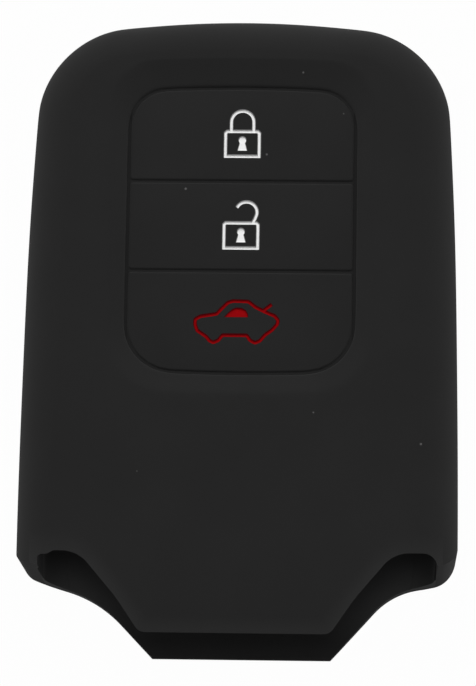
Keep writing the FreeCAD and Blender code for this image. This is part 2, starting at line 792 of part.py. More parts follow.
def car_line(sketch, side):
    """Draw the outer edge (side 1) or the inner edge (side -1) of the car's line."""
    points = [(D["car_length"] * x, D["car_height"] * y) for x, y, _ in CAR_CORNERS]
    count = len(points)
    corners = []
    for here in range(count):
        before, at, after = points[here - 1], points[here], points[(here + 1) % count]
        heading_in = math.atan2(at[1].value - before[1].value, at[0].value - before[0].value)
        heading_out = math.atan2(after[1].value - at[1].value, after[0].value - at[0].value)
        bend = math.remainder(heading_out - heading_in, 2 * math.pi)
        outward = heading_in + bend / 2 + math.pi / 2
        reach = D["icon_stroke"] / (2 * math.cos(bend / 2)) * side
        swell = D["icon_stroke"] / 2 * (side if bend < 0 else -side)
        corners.append((
            at[0] + reach * math.cos(outward) - D["car_shift"],
            at[1] + reach * math.sin(outward),
            swell + CAR_CORNERS[here][2],
        ))
    rounded_polygon(sketch, corners)


def car_outline(sketch):
    """Draw the car's outline as one line of even width."""
    car_line(sketch, 1)
    car_line(sketch, -1)


def raised_lid(sketch):
    """Draw the short stroke of the lid that stands open over the car's tail."""
    foot_x = D["car_length"] * LID_FOOT_SHARES[0] - D["car_shift"]
    foot_y = D["car_height"] * LID_FOOT_SHARES[1]
    half = D["icon_stroke"] / 2
    end_round = half * LID_END_SHARE
    along = (math.cos(LID_ANGLE), math.sin(LID_ANGLE))
    corners = []
    for run, side, radius in ((0, -1, None), (1, -1, end_round), (1, 1, end_round), (0, 1, None)):
        corners.append((
            foot_x + D["lid_length"] * (run * along[0]) - half * (side * along[1]),
            foot_y + D["lid_length"] * (run * along[1]) + half * (side * along[0]),
            radius,
        ))
    rounded_polygon(sketch, corners)


def car_window(sketch):
    """Draw the car's side window: flat sill, raked front and round back."""
    left = -D["car_window_length"] / 2 - D["car_shift"]
    right = left + D["car_window_length"]
    sill = D["car_height"] * WINDOW_SILL_SHARE
    top = sill + D["car_window_height"]
    rounded_polygon(sketch, [
        (left, sill, D["car_window_sill_corner"]),
        (right, sill, D["car_window_sill_corner"]),
        (right - D["icon_corner"], top, D["car_window_roof_corner"]),
        (left + D["car_window_height"], top, D["car_window_roof_corner"]),
    ])


def engrave(pad, centre, name, drawings):
    """Sink drawings into a pad's top, and return a new body that lines the channel's floor."""
    inlay = new_body(name)
    for draw in drawings:
        channel = new_sketch(pad, name + "_" + draw.__name__ + "_channel_plan", PAD_TOP, centre)
        draw(channel)
        pocket_feature(pad, channel, name + "_" + draw.__name__ + "_channel", D["icon_depth"])
        fill = new_sketch(inlay, name + "_" + draw.__name__ + "_plan", PAD_TOP - D["icon_depth"], centre)
        draw(fill)
        pad_feature(inlay, fill, name + "_" + draw.__name__ + "_fill", D["inlay_thickness"])
    return inlay


def make_all():
    """Build every sub-part and return them in order."""
    sleeve = make_sleeve()
    web = make_web()
    lock = make_pad("lock_button", LOCK_TOP, LOCK_BOTTOM)
    unlock = make_pad("unlock_button", UNLOCK_TOP, UNLOCK_BOTTOM)
    trunk = make_pad("trunk_button", TRUNK_TOP, TRUNK_BOTTOM)
    inlays = [
        engrave(lock, LOCK_CENTRE, "lock_outline_inlay", [closed_padlock]),
        engrave(lock, LOCK_CENTRE, "lock_keyhole_inlay", [keyhole]),
        engrave(unlock, UNLOCK_CENTRE, "unlock_outline_inlay", [padlock_frame, open_shackle]),
        engrave(unlock, UNLOCK_CENTRE, "unlock_keyhole_inlay", [keyhole]),
        engrave(trunk, TRUNK_CENTRE, "trunk_car_inlay", [car_outline, raised_lid]),
        engrave(trunk, TRUNK_CENTRE, "trunk_window_inlay", [car_window]),
    ]
    return [sleeve, web, lock, unlock, trunk] + inlays


def check_and_export(pieces):
    """Stop on any faulty object, then write each sub-part to its own file."""
    DOCUMENT.recompute()
    for item in DOCUMENT.Objects:
        if "Invalid" in item.State or "Error" in item.State:
            raise RuntimeError("%s is %s" % (item.Label, item.State))
    os.makedirs("parts", exist_ok=True)
    for piece in pieces:
        shape = piece.Shape
        if shape.isNull() or not shape.isValid() or len(shape.Solids) != 1:
            raise RuntimeError(piece.Label + " is not one valid solid")
        shape.exportStep("parts/%s.step" % piece.Label)
        box = shape.BoundBox
        print("%-22s volume %9.3f  box %.2f %.2f %.2f" % (
            piece.Label, shape.Volume, box.XLength, box.YLength, box.ZLength))


check_and_export(make_all())
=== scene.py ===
"""Visual model of a moulded silicone key fob cover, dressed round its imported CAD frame.

The cover lies on its back: X across, Y along towards the closed top end, Z up through the front.
Sizes held by the classes are millimetres, and Blender's own units are metres.
"""

import logging
import math
from dataclasses import dataclass
from enum import Enum
from typing import Any, Callable, Optional, Sequence

import bmesh
import bpy
from mathutils import Matrix, Vector


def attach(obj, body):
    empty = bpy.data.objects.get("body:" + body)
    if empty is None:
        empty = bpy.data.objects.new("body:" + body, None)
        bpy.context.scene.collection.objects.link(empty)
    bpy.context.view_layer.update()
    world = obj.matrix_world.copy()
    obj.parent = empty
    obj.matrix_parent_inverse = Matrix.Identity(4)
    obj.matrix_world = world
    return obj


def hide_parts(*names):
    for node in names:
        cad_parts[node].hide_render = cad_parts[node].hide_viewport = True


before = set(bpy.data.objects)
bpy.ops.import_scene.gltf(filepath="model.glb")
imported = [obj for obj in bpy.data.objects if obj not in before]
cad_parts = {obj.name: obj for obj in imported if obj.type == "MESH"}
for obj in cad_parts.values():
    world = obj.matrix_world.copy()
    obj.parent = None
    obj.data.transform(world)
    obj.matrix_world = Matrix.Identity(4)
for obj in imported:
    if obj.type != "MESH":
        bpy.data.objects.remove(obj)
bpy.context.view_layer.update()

LOG = logging.getLogger("key_fob_cover")
MM = 0.001  # a millimetre in Blender's metres
NEAR = 0.02  # places this close, in millimetres, count as the same
CRUMB = 0.002  # points this close, in millimetres, are merged after cuts
SPARE = 1.0  # how far cutting solids reach past what they cut, in millimetres
FLAT = 0.99  # a face whose normal has this much of a direction faces that way
STEEP = 0.3  # a face whose normal rises less than this is a side wall
SOFT_ANGLE = 40.0  # moulded pieces shade smoothly across edges flatter than this, in degrees
CRISP_ANGLE = 30.0  # the same for linings and the web

Spot = tuple[float, float]
Colour = tuple[float, float, float, float]


class Pick(Enum):
    """What kind of mesh element a selection is made of."""

    VERT = "VERT"
    EDGE = "EDGE"
    FACE = "FACE"


class Drop(Enum):
    """What a deletion takes away."""

    EDGES = "EDGE"
    FACES = "FACE"
    FILLING = "ONLY_FACE"


class Join(Enum):
    """How one solid works on another."""

    CUT = "DIFFERENCE"
    FUSE = "UNION"


class Way(Enum):
    """The direction that a cutting plane faces."""

    ACROSS = (1, 0, 0)
    ALONG = (0, 1, 0)


class Slot(Enum):
    """The record's material slots."""

    SILICONE = "black_silicone"
    WHITE = "white_silicone_ink"
    RED = "red_silicone_ink"


def spot(item: Any) -> Vector:
    """Find where a mesh element lies.

    Args:
        item: A vertex, edge or face of an open mesh.

    Returns:
        The vertex's place, or the middle of the edge or face, in millimetres.
    """
    if isinstance(item, bmesh.types.BMVert):
        return item.co / MM
    if isinstance(item, bmesh.types.BMFace):
        return item.calc_center_median() / MM
    return (item.verts[0].co + item.verts[1].co) / (2 * MM)


def everything(item: Any) -> bool:
    """Accept any mesh element."""
    return True


def near(first: float, second: float) -> bool:
    """Say whether two lengths in millimetres are the same place."""
    return abs(first - second) < NEAR


def in_plan(at: Vector) -> Spot:
    """Give a place across and along, to a hundredth of a millimetre."""
    return (round(at.x, 2), round(at.y, 2))


def both_sides(places: Sequence[float]) -> list[float]:
    """List the middle and the places on both sides of it, from left to right."""
    return sorted((0.0, *places, *(-place for place in places)))


def beside_wall(edge: bmesh.types.BMEdge) -> bool:
    """Say whether an edge borders a side wall."""
    return any(abs(face.normal.z) < STEEP for face in edge.link_faces)


class Bench:
    """One mesh on the bench, with the hand tools that shape it."""

    def __init__(self, piece: bpy.types.Object) -> None:
        """Take an object on to the bench."""
        self.piece = piece

    @staticmethod
    def clear() -> None:
        """Leave edit mode and deselect every object."""
        if bpy.context.object and bpy.context.object.mode != "OBJECT":
            bpy.ops.object.mode_set(mode="OBJECT")
        bpy.ops.object.select_all(action="DESELECT")

    @classmethod
    def started(cls, name: str) -> "Bench":
        """Name the primitive that was just added, fix its place in its mesh and open it.

        Args:
            name: The piece's name.

        Returns:
            The bench with the new piece in edit mode.
        """
        piece = bpy.context.object
        piece.name = name
        piece.data.name = name
        bpy.ops.object.transform_apply(location=True, rotation=True, scale=True)
        bench = cls(piece)
        bench.edit()
        return bench

    @classmethod
    def block(cls, name: str, low: Sequence[float], high: Sequence[float]) -> "Bench":
        """Start a piece from a cube.

        Args:
            name: The piece's name.
            low: Lowest corner in millimetres.
            high: Highest corner in millimetres.

        Returns:
            The bench with the block in edit mode.
        """
        cls.clear()
        size = [(b - a) * MM for a, b in zip(low, high)]
        centre = [(a + b) / 2 * MM for a, b in zip(low, high)]
        bpy.ops.mesh.primitive_cube_add(size=1.0, location=centre, scale=size)
        return cls.started(name)

    @classmethod
    def plate(cls, name: str, low: Spot, high: Spot, level: float) -> "Bench":
        """Start a piece from a flat plane.

        Args:
            name: The piece's name.
            low: Lowest corner across and along, in millimetres.
            high: Highest corner across and along, in millimetres.
            level: Height of the plane in millimetres.

        Returns:
            The bench with the plate in edit mode.
        """
        cls.clear()
        size = ((high[0] - low[0]) * MM, (high[1] - low[1]) * MM, 1.0)
        centre = ((low[0] + high[0]) / 2 * MM, (low[1] + high[1]) / 2 * MM, level * MM)
        bpy.ops.mesh.primitive_plane_add(size=1.0, location=centre)
        bpy.context.object.scale = size
        return cls.started(name)

    @classmethod
    def ring(cls, name: str, spots: Sequence[Spot], level: float, filled: bool) -> "Bench":
        """Start a piece from a circle whose vertices are pulled to given places.

        Args:
            name: The piece's name.
            spots: Where the vertices go, across and along, in millimetres.
            level: Height of the ring in millimetres.
            filled: Whether the ring carries a face.

        Returns:
            The bench with the ring in edit mode.
        """
        cls.clear()
        fill = "NGON" if filled else "NOTHING"
        centre = (0, 0, level * MM)
        bpy.ops.mesh.primitive_circle_add(vertices=len(spots), radius=MM, fill_type=fill, location=centre)
        bench = cls.started(name)
        for number, (across, along) in enumerate(spots):
            bench.pick(Pick.VERT, lambda v: v.index == number)
            at = bench.spots(lambda v: v.select)[0]
            bench.move(across - at.x, along - at.y, 0)
        return bench

    def edit(self) -> None:
        """Open the mesh with nothing selected."""
        Bench.clear()
        bpy.context.view_layer.objects.active = self.piece
        self.piece.select_set(True)
        bpy.ops.object.mode_set(mode="EDIT")
        bpy.ops.mesh.select_all(action="DESELECT")

    def close(self) -> None:
        """Leave edit mode with this piece alone selected."""
        Bench.clear()
        bpy.context.view_layer.objects.active = self.piece
        self.piece.select_set(True)

    def pick(self, kind: Pick, test: Callable[[Any], bool]) -> int:
        """Select just the elements that a test accepts.

        Args:
            kind: What the selection is made of.
            test: Says whether an element is wanted.

        Returns:
            How many were selected.
        """
        bpy.ops.mesh.select_mode(type=kind.value)
        bpy.ops.mesh.select_all(action="DESELECT")
        mesh = bmesh.from_edit_mesh(self.piece.data)
        items = {Pick.VERT: mesh.verts, Pick.EDGE: mesh.edges, Pick.FACE: mesh.faces}[kind]
        wanted = [item for item in items if test(item)]
        for item in wanted:
            item.select_set(True)
        mesh.select_flush_mode()
        bmesh.update_edit_mesh(self.piece.data)
        return len(wanted)

    def spots(self, test: Callable[[Any], bool]) -> list[Vector]:
        """List where the vertices that a test accepts lie, in millimetres."""
        mesh = bmesh.from_edit_mesh(self.piece.data)
        return [spot(v) for v in mesh.verts if test(v)]

    def move(self, across: float, along: float, up: float) -> None:
        """Shift what is selected."""
        bpy.ops.transform.translate(value=(across * MM, along * MM, up * MM))

    def stretch(self, factors: Sequence[float], about: Sequence[float]) -> None:
        """Scale what is selected about a point in millimetres."""
        bpy.ops.transform.resize(value=tuple(factors), center_override=tuple(a * MM for a in about))

    def slice(self, way: Way, places: Sequence[float]) -> None:
        """Cut new edges right through the mesh.

        Args:
            way: The direction that the cutting planes face.
            places: Where they stand along it, in millimetres.
        """
        for place in places:
            self.pick(Pick.FACE, everything)
            at = tuple(place * MM * share for share in way.value)
            bpy.ops.mesh.bisect(plane_co=at, plane_no=way.value)

    def mark(self, way: Way, places: Sequence[float]) -> None:
        """Add vertices to a flat outline where planes cross it, and leave it one face.

        Args:
            way: The direction that the planes face.
            places: Where they stand along it, in millimetres.
        """
        self.slice(way, places)
        self.pick(Pick.EDGE, lambda e: not e.is_boundary)
        bpy.ops.mesh.dissolve_edges(use_verts=False)

    def bevel(self, width: float, segments: int, corners: bool = False) -> None:
        """Round the selected edges, or the selected corners of flat outlines."""
        affect = "VERTICES" if corners else "EDGES"
        bpy.ops.mesh.bevel(offset=width * MM, segments=segments, affect=affect, clamp_overlap=False)

    def extrude_edges(self, across: float, along: float, up: float) -> None:
        """Draw new faces out of the selected edges."""
        shift = {"value": (across * MM, along * MM, up * MM)}
        bpy.ops.mesh.extrude_edges_move(TRANSFORM_OT_translate=shift)

    def raise_up(self, height: float) -> None:
        """Raise a flat outline to a solid.

        Args:
            height: The solid's height in millimetres.
        """
        self.pick(Pick.FACE, everything)
        bpy.ops.mesh.extrude_region_move(TRANSFORM_OT_translate={"value": (0.0, 0.0, height * MM)})
        self.face_outwards()

    def drop(self, kind: Drop) -> None:
        """Delete what is selected."""
        bpy.ops.mesh.delete(type=kind.value)

    def face_outwards(self) -> None:
        """Turn every face of the mesh outwards."""
        self.pick(Pick.FACE, everything)
        bpy.ops.mesh.normals_make_consistent(inside=False)

    def modify(self, kind: str, **settings: Any) -> None:
        """Add a modifier and apply it.

        Args:
            kind: The modifier's type.
            **settings: Its properties.
        """
        self.close()
        modifier = self.piece.modifiers.new(kind.lower(), kind)
        for name, value in settings.items():
            setattr(modifier, name, value)
        bpy.ops.object.modifier_apply(modifier=modifier.name)

    def thicken(self, width: float, offset: float) -> None:
        """Give a skin a wall of a width in millimetres, inwards at offset -1 and to both sides at 0."""
        self.modify("SOLIDIFY", thickness=width * MM, offset=offset, use_even_offset=True, use_rim=True)
        self.edit()

    def combine(self, tool: "Bench", join: Join) -> None:
        """Cut another solid out of this one or fuse it on, and use that other solid up.

        Args:
            tool: The bench with the other solid.
            join: What the other solid does.
        """
        self.modify("BOOLEAN", operation=join.value, object=tool.piece, solver="EXACT")
        bpy.data.meshes.remove(tool.piece.data)

    def sweep(self) -> None:
        """Clear what cuts leave behind: points that all but touch, faces without area and loose flaps."""
        self.edit()
        self.pick(Pick.VERT, everything)
        bpy.ops.mesh.remove_doubles(threshold=CRUMB * MM)
        self.pick(Pick.FACE, lambda f: len(f.verts) > 4)
        bpy.ops.mesh.quads_convert_to_tris(ngon_method="BEAUTY")
        self.pick(Pick.VERT, everything)
        bpy.ops.mesh.dissolve_degenerate(threshold=CRUMB * MM)
        if self.pick(Pick.FACE, lambda f: sum(edge.is_boundary for edge in f.edges) > 1):
            self.drop(Drop.FACES)

    def smooth(self, angle: float) -> None:
        """Shade smoothly across edges flatter than an angle in degrees."""
        self.close()
        bpy.ops.object.shade_smooth_by_angle(angle=math.radians(angle))


class Signal:
    """A value socket of a material, on which sums add Math nodes."""

    def __init__(self, recipe: "Recipe", socket: bpy.types.NodeSocket) -> None:
        """Wrap a socket of a recipe."""
        self.recipe = recipe
        self.socket = socket

    def __add__(self, other: Any) -> "Signal":
        """Add."""
        return self.recipe.sum("ADD", self, other)

    def __radd__(self, other: Any) -> "Signal":
        """Add the other way round."""
        return self.recipe.sum("ADD", other, self)

    def __sub__(self, other: Any) -> "Signal":
        """Subtract."""
        return self.recipe.sum("SUBTRACT", self, other)

    def __rsub__(self, other: Any) -> "Signal":
        """Subtract the other way round."""
        return self.recipe.sum("SUBTRACT", other, self)

    def __mul__(self, other: Any) -> "Signal":
        """Multiply."""
        return self.recipe.sum("MULTIPLY", self, other)

    def __gt__(self, other: Any) -> "Signal":
        """Give 1 where this is the larger, and 0 elsewhere."""
        return self.recipe.sum("GREATER_THAN", self, other)

    def __lt__(self, other: Any) -> "Signal":
        """Give 1 where this is the smaller, and 0 elsewhere."""
        return self.recipe.sum("LESS_THAN", self, other)


class Recipe:
    """The node tree of one material, or of the world."""

    NOISE_ROUGHNESS = 0.55

    def __init__(self, home: Any, output: str = "ShaderNodeOutputMaterial") -> None:
        """Empty a node tree but for its output node.

        Args:
            home: The material or world that the tree belongs to.
            output: Type of the output node.
        """
        self.home = home
        home.use_nodes = True
        self.tree = home.node_tree
        self.tree.nodes.clear()
        self.output = self.node(output)

    def node(self, kind: str, settings: Optional[dict] = None, **inputs: Any) -> bpy.types.Node:
        """Add a node.

        Args:
            kind: The node's type.
            settings: Properties, set before the sockets.
            **inputs: Values or links by socket name, with _ for a space, or in_ and a socket's number.

        Returns:
            The new node.
        """
        made = self.tree.nodes.new(kind)
        for name, value in (settings or {}).items():
            setattr(made, name, value)
        for name, value in inputs.items():
            key = int(name[3:]) if name.startswith("in_") else name.replace("_", " ")
            socket = made.inputs[key]
            if isinstance(value, Signal):
                value = value.socket
            if isinstance(value, bpy.types.NodeSocket):
                self.tree.links.new(value, socket)
            else:
                socket.default_value = value
        return made

    def sum(self, operation: str, first: Any, second: Any) -> Signal:
        """Add a Math node on two values or signals and return its result."""
        made = self.node("ShaderNodeMath", {"operation": operation}, in_0=first, in_1=second)
        return Signal(self, made.outputs[0])

    def ramp(self, value: Signal, start: float, run: float) -> Signal:
        """Rise from 0 at a place to 1 at a run beyond it, both in millimetres."""
        share = (value - start * MM) * (1 / (run * MM))
        return self.sum("MINIMUM", self.sum("MAXIMUM", share, 0.0), 1.0)

    def within(self, value: Signal, low: float, high: float) -> Signal:
        """Give 1 between two places in millimetres, and 0 elsewhere."""
        return (value > low * MM) * (value < high * MM)

    def place(self) -> bpy.types.NodeSocket:
        """Return the place on the piece, in its own metres."""
        return self.node("ShaderNodeTexCoord").outputs["Object"]

    def axes(self, place: bpy.types.NodeSocket) -> list[Signal]:
        """Return how far across, along and up a place is, in metres."""
        parts = self.node("ShaderNodeSeparateXYZ", None, Vector=place)
        return [Signal(self, part) for part in parts.outputs]

    def noise(self, place: bpy.types.NodeSocket, scale: float, detail: float) -> Signal:
        """Return a soft noise of so many features a metre."""
        look = {"Scale": scale, "Detail": detail, "Roughness": self.NOISE_ROUGHNESS}
        return Signal(self, self.node("ShaderNodeTexNoise", None, Vector=place, **look).outputs[0])

    def blend(self, share: Any, first: Any, second: Any) -> bpy.types.NodeSocket:
        """Mix two colours by a share of the second and return the colour."""
        made = self.node("ShaderNodeMix", {"data_type": "RGBA"}, in_0=share, in_6=first, in_7=second)
        return made.outputs[2]

    def relief(self, height: Signal, strength: float, depth: float) -> bpy.types.NodeSocket:
        """Return a normal bumped by a height signal, with its depth in millimetres."""
        made = self.node("ShaderNodeBump", None, Strength=strength, Distance=depth * MM, Height=height)
        return made.outputs[0]

    def onlookers(self) -> Signal:
        """Tell the rays that see the backdrop from those that only carry light.

        Returns:
            A signal of 1 for rays straight from the camera, mirrored or through glass, and else 0.
        """
        ray = self.node("ShaderNodeLightPath")
        kinds = ("Is Camera Ray", "Is Glossy Ray", "Is Transmission Ray")
        straight, mirrored, through = (Signal(self, ray.outputs[kind]) for kind in kinds)
        return straight + mirrored + through

    def finish(self, shader: bpy.types.Node) -> Any:
        """Connect the surface shader and return the material or world."""
        self.tree.links.new(shader.outputs[0], self.output.inputs["Surface"])
        return self.home


def grey(level: float) -> Colour:
    """Return a neutral colour."""
    return (level, level, level, 1.0)


@dataclass(frozen=True)
class MouldedSilicone:
    """Matte black moulded silicone: fine grain, soft bloom at grazing angles, a little dust, light painted
    inside the hollow.
    """

    # How bright the rubber, the paler strip at the tongue's edge, the light painted inside the hollow and the
    # dust are.
    deep: float = 0.0141
    pale: float = 0.0175
    paler_edge: float = 0.022
    hollow_painted_light: float = 0.04
    dust: float = 0.085
    # How it takes the light.
    shine: float = 0.01
    refraction: float = 1.41
    bloom: float = 0.05
    bloom_spread: float = 0.65
    roughness: float = 0.85
    cloud_roughness: float = 0.12
    grain_roughness: float = 0.1
    speck_roughness: float = 0.2
    # How fine the clouds, grain and dust are, in features a metre, and how they stand out.
    cloud_scale: float = 140.0
    grain_scale: float = 5200.0
    speck_scale: float = 236.0
    speck_size: float = 0.032
    speck_draw: float = 0.45
    speck_height: float = 1.5
    relief_strength: float = 0.16
    relief_depth: float = 0.03
    # Where light is painted inside the hollow.
    hollow_half_width: float = 21.0
    hollow_heights: Spot = (1.0, 6.0)
    hollow_light_start: float = -32.0
    hollow_light_run: float = 6.0
    # Where the front tongue is paler towards its edge.
    tongue_slope: Spot = (0.794, 0.608)
    tongue_flank: float = 27.9
    tongue_end: float = -33.05
    tongue_strip: float = 1.8
    paler_start: float = -22.5
    paler_run: float = 3.5
    paler_height: float = 16.0

    def make(self) -> bpy.types.Material:
        """Build the material.

        Returns:
            The finished material.
        """
        recipe = Recipe(bpy.data.materials.new(Slot.SILICONE.value))
        place = recipe.place()
        cloud = recipe.noise(place, self.cloud_scale, 3.0)
        grain = recipe.noise(place, self.grain_scale, 2.0)
        cells = recipe.node("ShaderNodeTexVoronoi", None, Vector=place, Scale=self.speck_scale)
        fleck = Signal(recipe, cells.outputs["Distance"]) < self.speck_size
        lottery = recipe.node("ShaderNodeSeparateColor", None, Color=cells.outputs["Color"])
        specks = fleck * (Signal(recipe, lottery.outputs[0]) > self.speck_draw)
        tone = recipe.blend(cloud, grey(self.deep), grey(self.pale))
        # The front tongue is coloured paler over a strip at its edge.
        paler_edge = recipe.blend(self.tongue_edge(recipe, place), tone, grey(self.paler_edge))
        # Painted light: the hollow's lower walls are lightened, more so further in from the mouth.
        hollow_lit_colour = recipe.blend(self.hollow(recipe, place), paler_edge, grey(self.hollow_painted_light))
        colour = recipe.blend(specks, hollow_lit_colour, grey(self.dust))
        uneven = (cloud - 0.5) * self.cloud_roughness + (grain - 0.5) * self.grain_roughness
        relief = recipe.relief(grain + specks * self.speck_height, self.relief_strength, self.relief_depth)
        shader = recipe.node(
            "ShaderNodeBsdfPrincipled",
            None,
            Base_Color=colour,
            Roughness=self.roughness + uneven + specks * self.speck_roughness,
            Normal=relief,
            Specular_IOR_Level=self.shine,
            IOR=self.refraction,
            Sheen_Weight=self.bloom,
            Sheen_Roughness=self.bloom_spread,
        )
        return recipe.finish(shader)

    def hollow(self, recipe: Recipe, place: bpy.types.NodeSocket) -> Signal:
        """Tell where light is painted on the walls of the hollow.

        Args:
            recipe: The material's node tree.
            place: The place on the piece.

        Returns:
            A signal of 1 on the lower walls of the hollow's open half, 0 at the mouth and elsewhere.
        """
        across, along, up = recipe.axes(place)
        inside = recipe.within(across, -self.hollow_half_width, self.hollow_half_width)
        between = inside * recipe.within(up, *self.hollow_heights) * (along < 0.0)
        return between * recipe.ramp(along, self.hollow_light_start, self.hollow_light_run)

    def tongue_edge(self, recipe: Recipe, place: bpy.types.NodeSocket) -> Signal:
        """Tell how near the edge of the front tongue a place is.

        Args:
            recipe: The material's node tree.
            place: The place on the piece.

        Returns:
            A signal rising from 0 to 1 over the last strip of the front.
        """
        across, along, up = recipe.axes(place)
        aside = recipe.sum("ABSOLUTE", across, 0.0) * self.tongue_slope[0]
        flank = aside - along * self.tongue_slope[1] - self.tongue_flank * MM
        edge = recipe.sum("MAXIMUM", flank, self.tongue_end * MM - along)
        strip = recipe.ramp(edge, -self.tongue_strip, self.tongue_strip)
        lower = recipe.ramp(self.paler_start * MM - along, 0.0, self.paler_run)
        return strip * lower * (up > self.paler_height * MM)


@dataclass(frozen=True)
class ChannelInk:
    """A coloured fill cured in a recessed line: full on the channel's floor, darkened up its walls as painted
    shade.
    """

    slot: Slot
    thin: Colour
    full: Colour
    # The wall colour is painted shade on the channel's walls.
    wall: Colour
    shine: float
    # Height above which the walls take the painted shade, and the rise over which it comes in, in
    # millimetres.
    floor: float = 16.09
    fade: float = 0.07
    roughness: float = 0.5
    ripple_roughness: float = 0.2
    pooling_scale: float = 1400.0
    ripple_scale: float = 6000.0
    ripple_height: float = 0.4
    relief_strength: float = 0.2
    relief_depth: float = 0.03

    def make(self) -> bpy.types.Material:
        """Build the material.

        Returns:
            The finished material.
        """
        recipe = Recipe(bpy.data.materials.new(self.slot.value))
        place = recipe.place()
        pooling = recipe.noise(place, self.pooling_scale, 2.0)
        ripple = recipe.noise(place, self.ripple_scale, 2.0)
        height = recipe.axes(place)[2]
        # Painted shade: the colour darkens up the channel walls above the floor.
        wall_shade = recipe.ramp(height, self.floor, self.fade)
        bumps = pooling + ripple * self.ripple_height
        shader = recipe.node(
            "ShaderNodeBsdfPrincipled",
            None,
            Base_Color=recipe.blend(wall_shade, recipe.blend(pooling, self.thin, self.full), self.wall),
            Roughness=self.roughness + (ripple - 0.5) * self.ripple_roughness,
            Normal=recipe.relief(bumps, self.relief_strength, self.relief_depth),
            Specular_IOR_Level=self.shine,
        )
        return recipe.finish(shader)


class Body(Enum):
    """The bodies that pieces ride on."""

    COVER = "cover"
    LOCK = "lock_pad"
    UNLOCK = "unlock_pad"
    TRUNK = "trunk_pad"


def hand_over(bench: Bench, body: Body, node: str, material: bpy.types.Material) -> None:
    """Give a finished piece its finish and its place in the frame.

    Args:
        bench: The bench with the piece.
        body: The body it rides on.
        node: The CAD node that it stands for.
        material: Its finish.
    """
    bench.close()
    piece = bench.piece
    piece.data.materials.clear()
    piece.data.materials.append(material)
    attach(piece, body.value)
    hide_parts(node)
    LOG.info("%s: %d faces on %s", piece.name, len(piece.data.polygons), body.value)


@dataclass(frozen=True)
class TrimLine:
    """A line across the mouth in plan, straight between its corners and rounded at them.

    Each corner is given by its place across and along and its radius, from the middle outwards.
    """

    corners: tuple[tuple[float, float, float], ...]
    steps: int = 12

    def samples(self) -> list[Spot]:
        """List points along the line.

        Returns:
            Points across and along, in millimetres, from the middle outwards.
        """
        found: list[Spot] = []
        for number, (across, along, radius) in enumerate(self.corners):
            at = Vector((across, along))
            if not radius:
                found.append((across, along))
                continue
            back = (Vector(self.corners[number - 1][:2]) - at).normalized()
            ahead = (Vector(self.corners[number + 1][:2]) - at).normalized()
            half = back.angle(ahead) / 2
            reach = radius / math.tan(half)
            centre = at + (back + ahead).normalized() * (radius / math.sin(half))
            first, last = at + back * reach - centre, at + ahead * reach - centre
            for step in range(self.steps + 1):
                found.append(tuple(centre + first.slerp(last, step / self.steps) * radius))
        return found

    def mirrored(self) -> list[Spot]:
        """List the line's points on the other side, from outside to just short of the middle."""
        return [(-across, along) for across, along in reversed(self.samples()[1:])]


# Corners that the trim lines of both sides share: the front tongue's, and those clear of the side walls.
FRONT_TONGUE = ((0.0, -33.05, 0.0), (9.85, -33.05, 1.2), (12.3, -29.4, 15.0))
OPEN_SIDE = ((23.14, 0.0, 0.0), (26.0, 0.0, 0.0))
# Where a panel's arched ends have vertices, on each side of the middle, and the steps of its corners.
ARCH_COLUMNS = (3.4, 6.6)
PANEL_SEGMENTS = 6


def panel(
    name: str, half_width: float, top: float, bottom: float, rounds: Spot, arches: Spot, level: float
) -> Bench:
    """Start a flat panel with arched ends and round corners, as one face.

    Args:
        name: The piece's name.
        half_width: Half its width.
        top: Place of its upper end along the cover.
        bottom: Place of its lower end.
        rounds: Corner radius of the upper and of the lower corners.
        arches: Radius of the upper and of the lower end, or 0 for a straight end.
        level: Its height.

    Returns:
        The bench with the panel in edit mode.
    """
    bench = Bench.plate(name, (-half_width, bottom), (half_width, top), level)
    bench.mark(Way.ACROSS, both_sides(ARCH_COLUMNS))
    for place, arch, sign in ((top, arches[0], -1), (bottom, arches[1], 1)):
        for across in (*ARCH_COLUMNS, half_width) if arch else ():
            bench.pick(Pick.VERT, lambda v: near(spot(v).y, place) and near(abs(spot(v).x), across))
            bench.move(0, sign * across ** 2 / (2 * arch), 0)
    middle = (top + bottom) / 2
    for upper, radius in ((True, rounds[0]), (False, rounds[1])):
        bench.pick(Pick.VERT, lambda v: near(abs(spot(v).x), half_width) and (spot(v).y > middle) == upper)
        bench.bevel(radius, PANEL_SEGMENTS, corners=True)
    return bench


@dataclass
class Layout:
    """Heights and places that the sleeve, web and pads share."""

    thickness: float = 17.0
    ceiling: float = 15.0
    pad_top: float = 16.2
    web_top: float = 16.0
    web_thickness: float = 0.4
    window_half_width: float = 12.2
    window_top: float = 25.7
    window_bottom: float = -5.65
    window_rounds: Spot = (3.9, 4.9)
    arch: float = 170.0
    groove: float = 0.36

    def window(self, name: str, level: float) -> Bench:
        """Start a panel of the pad window's outline at a height."""
        half, top, bottom = self.window_half_width, self.window_top, self.window_bottom
        return panel(name, half, top, bottom, self.window_rounds, (self.arch, self.arch), level)


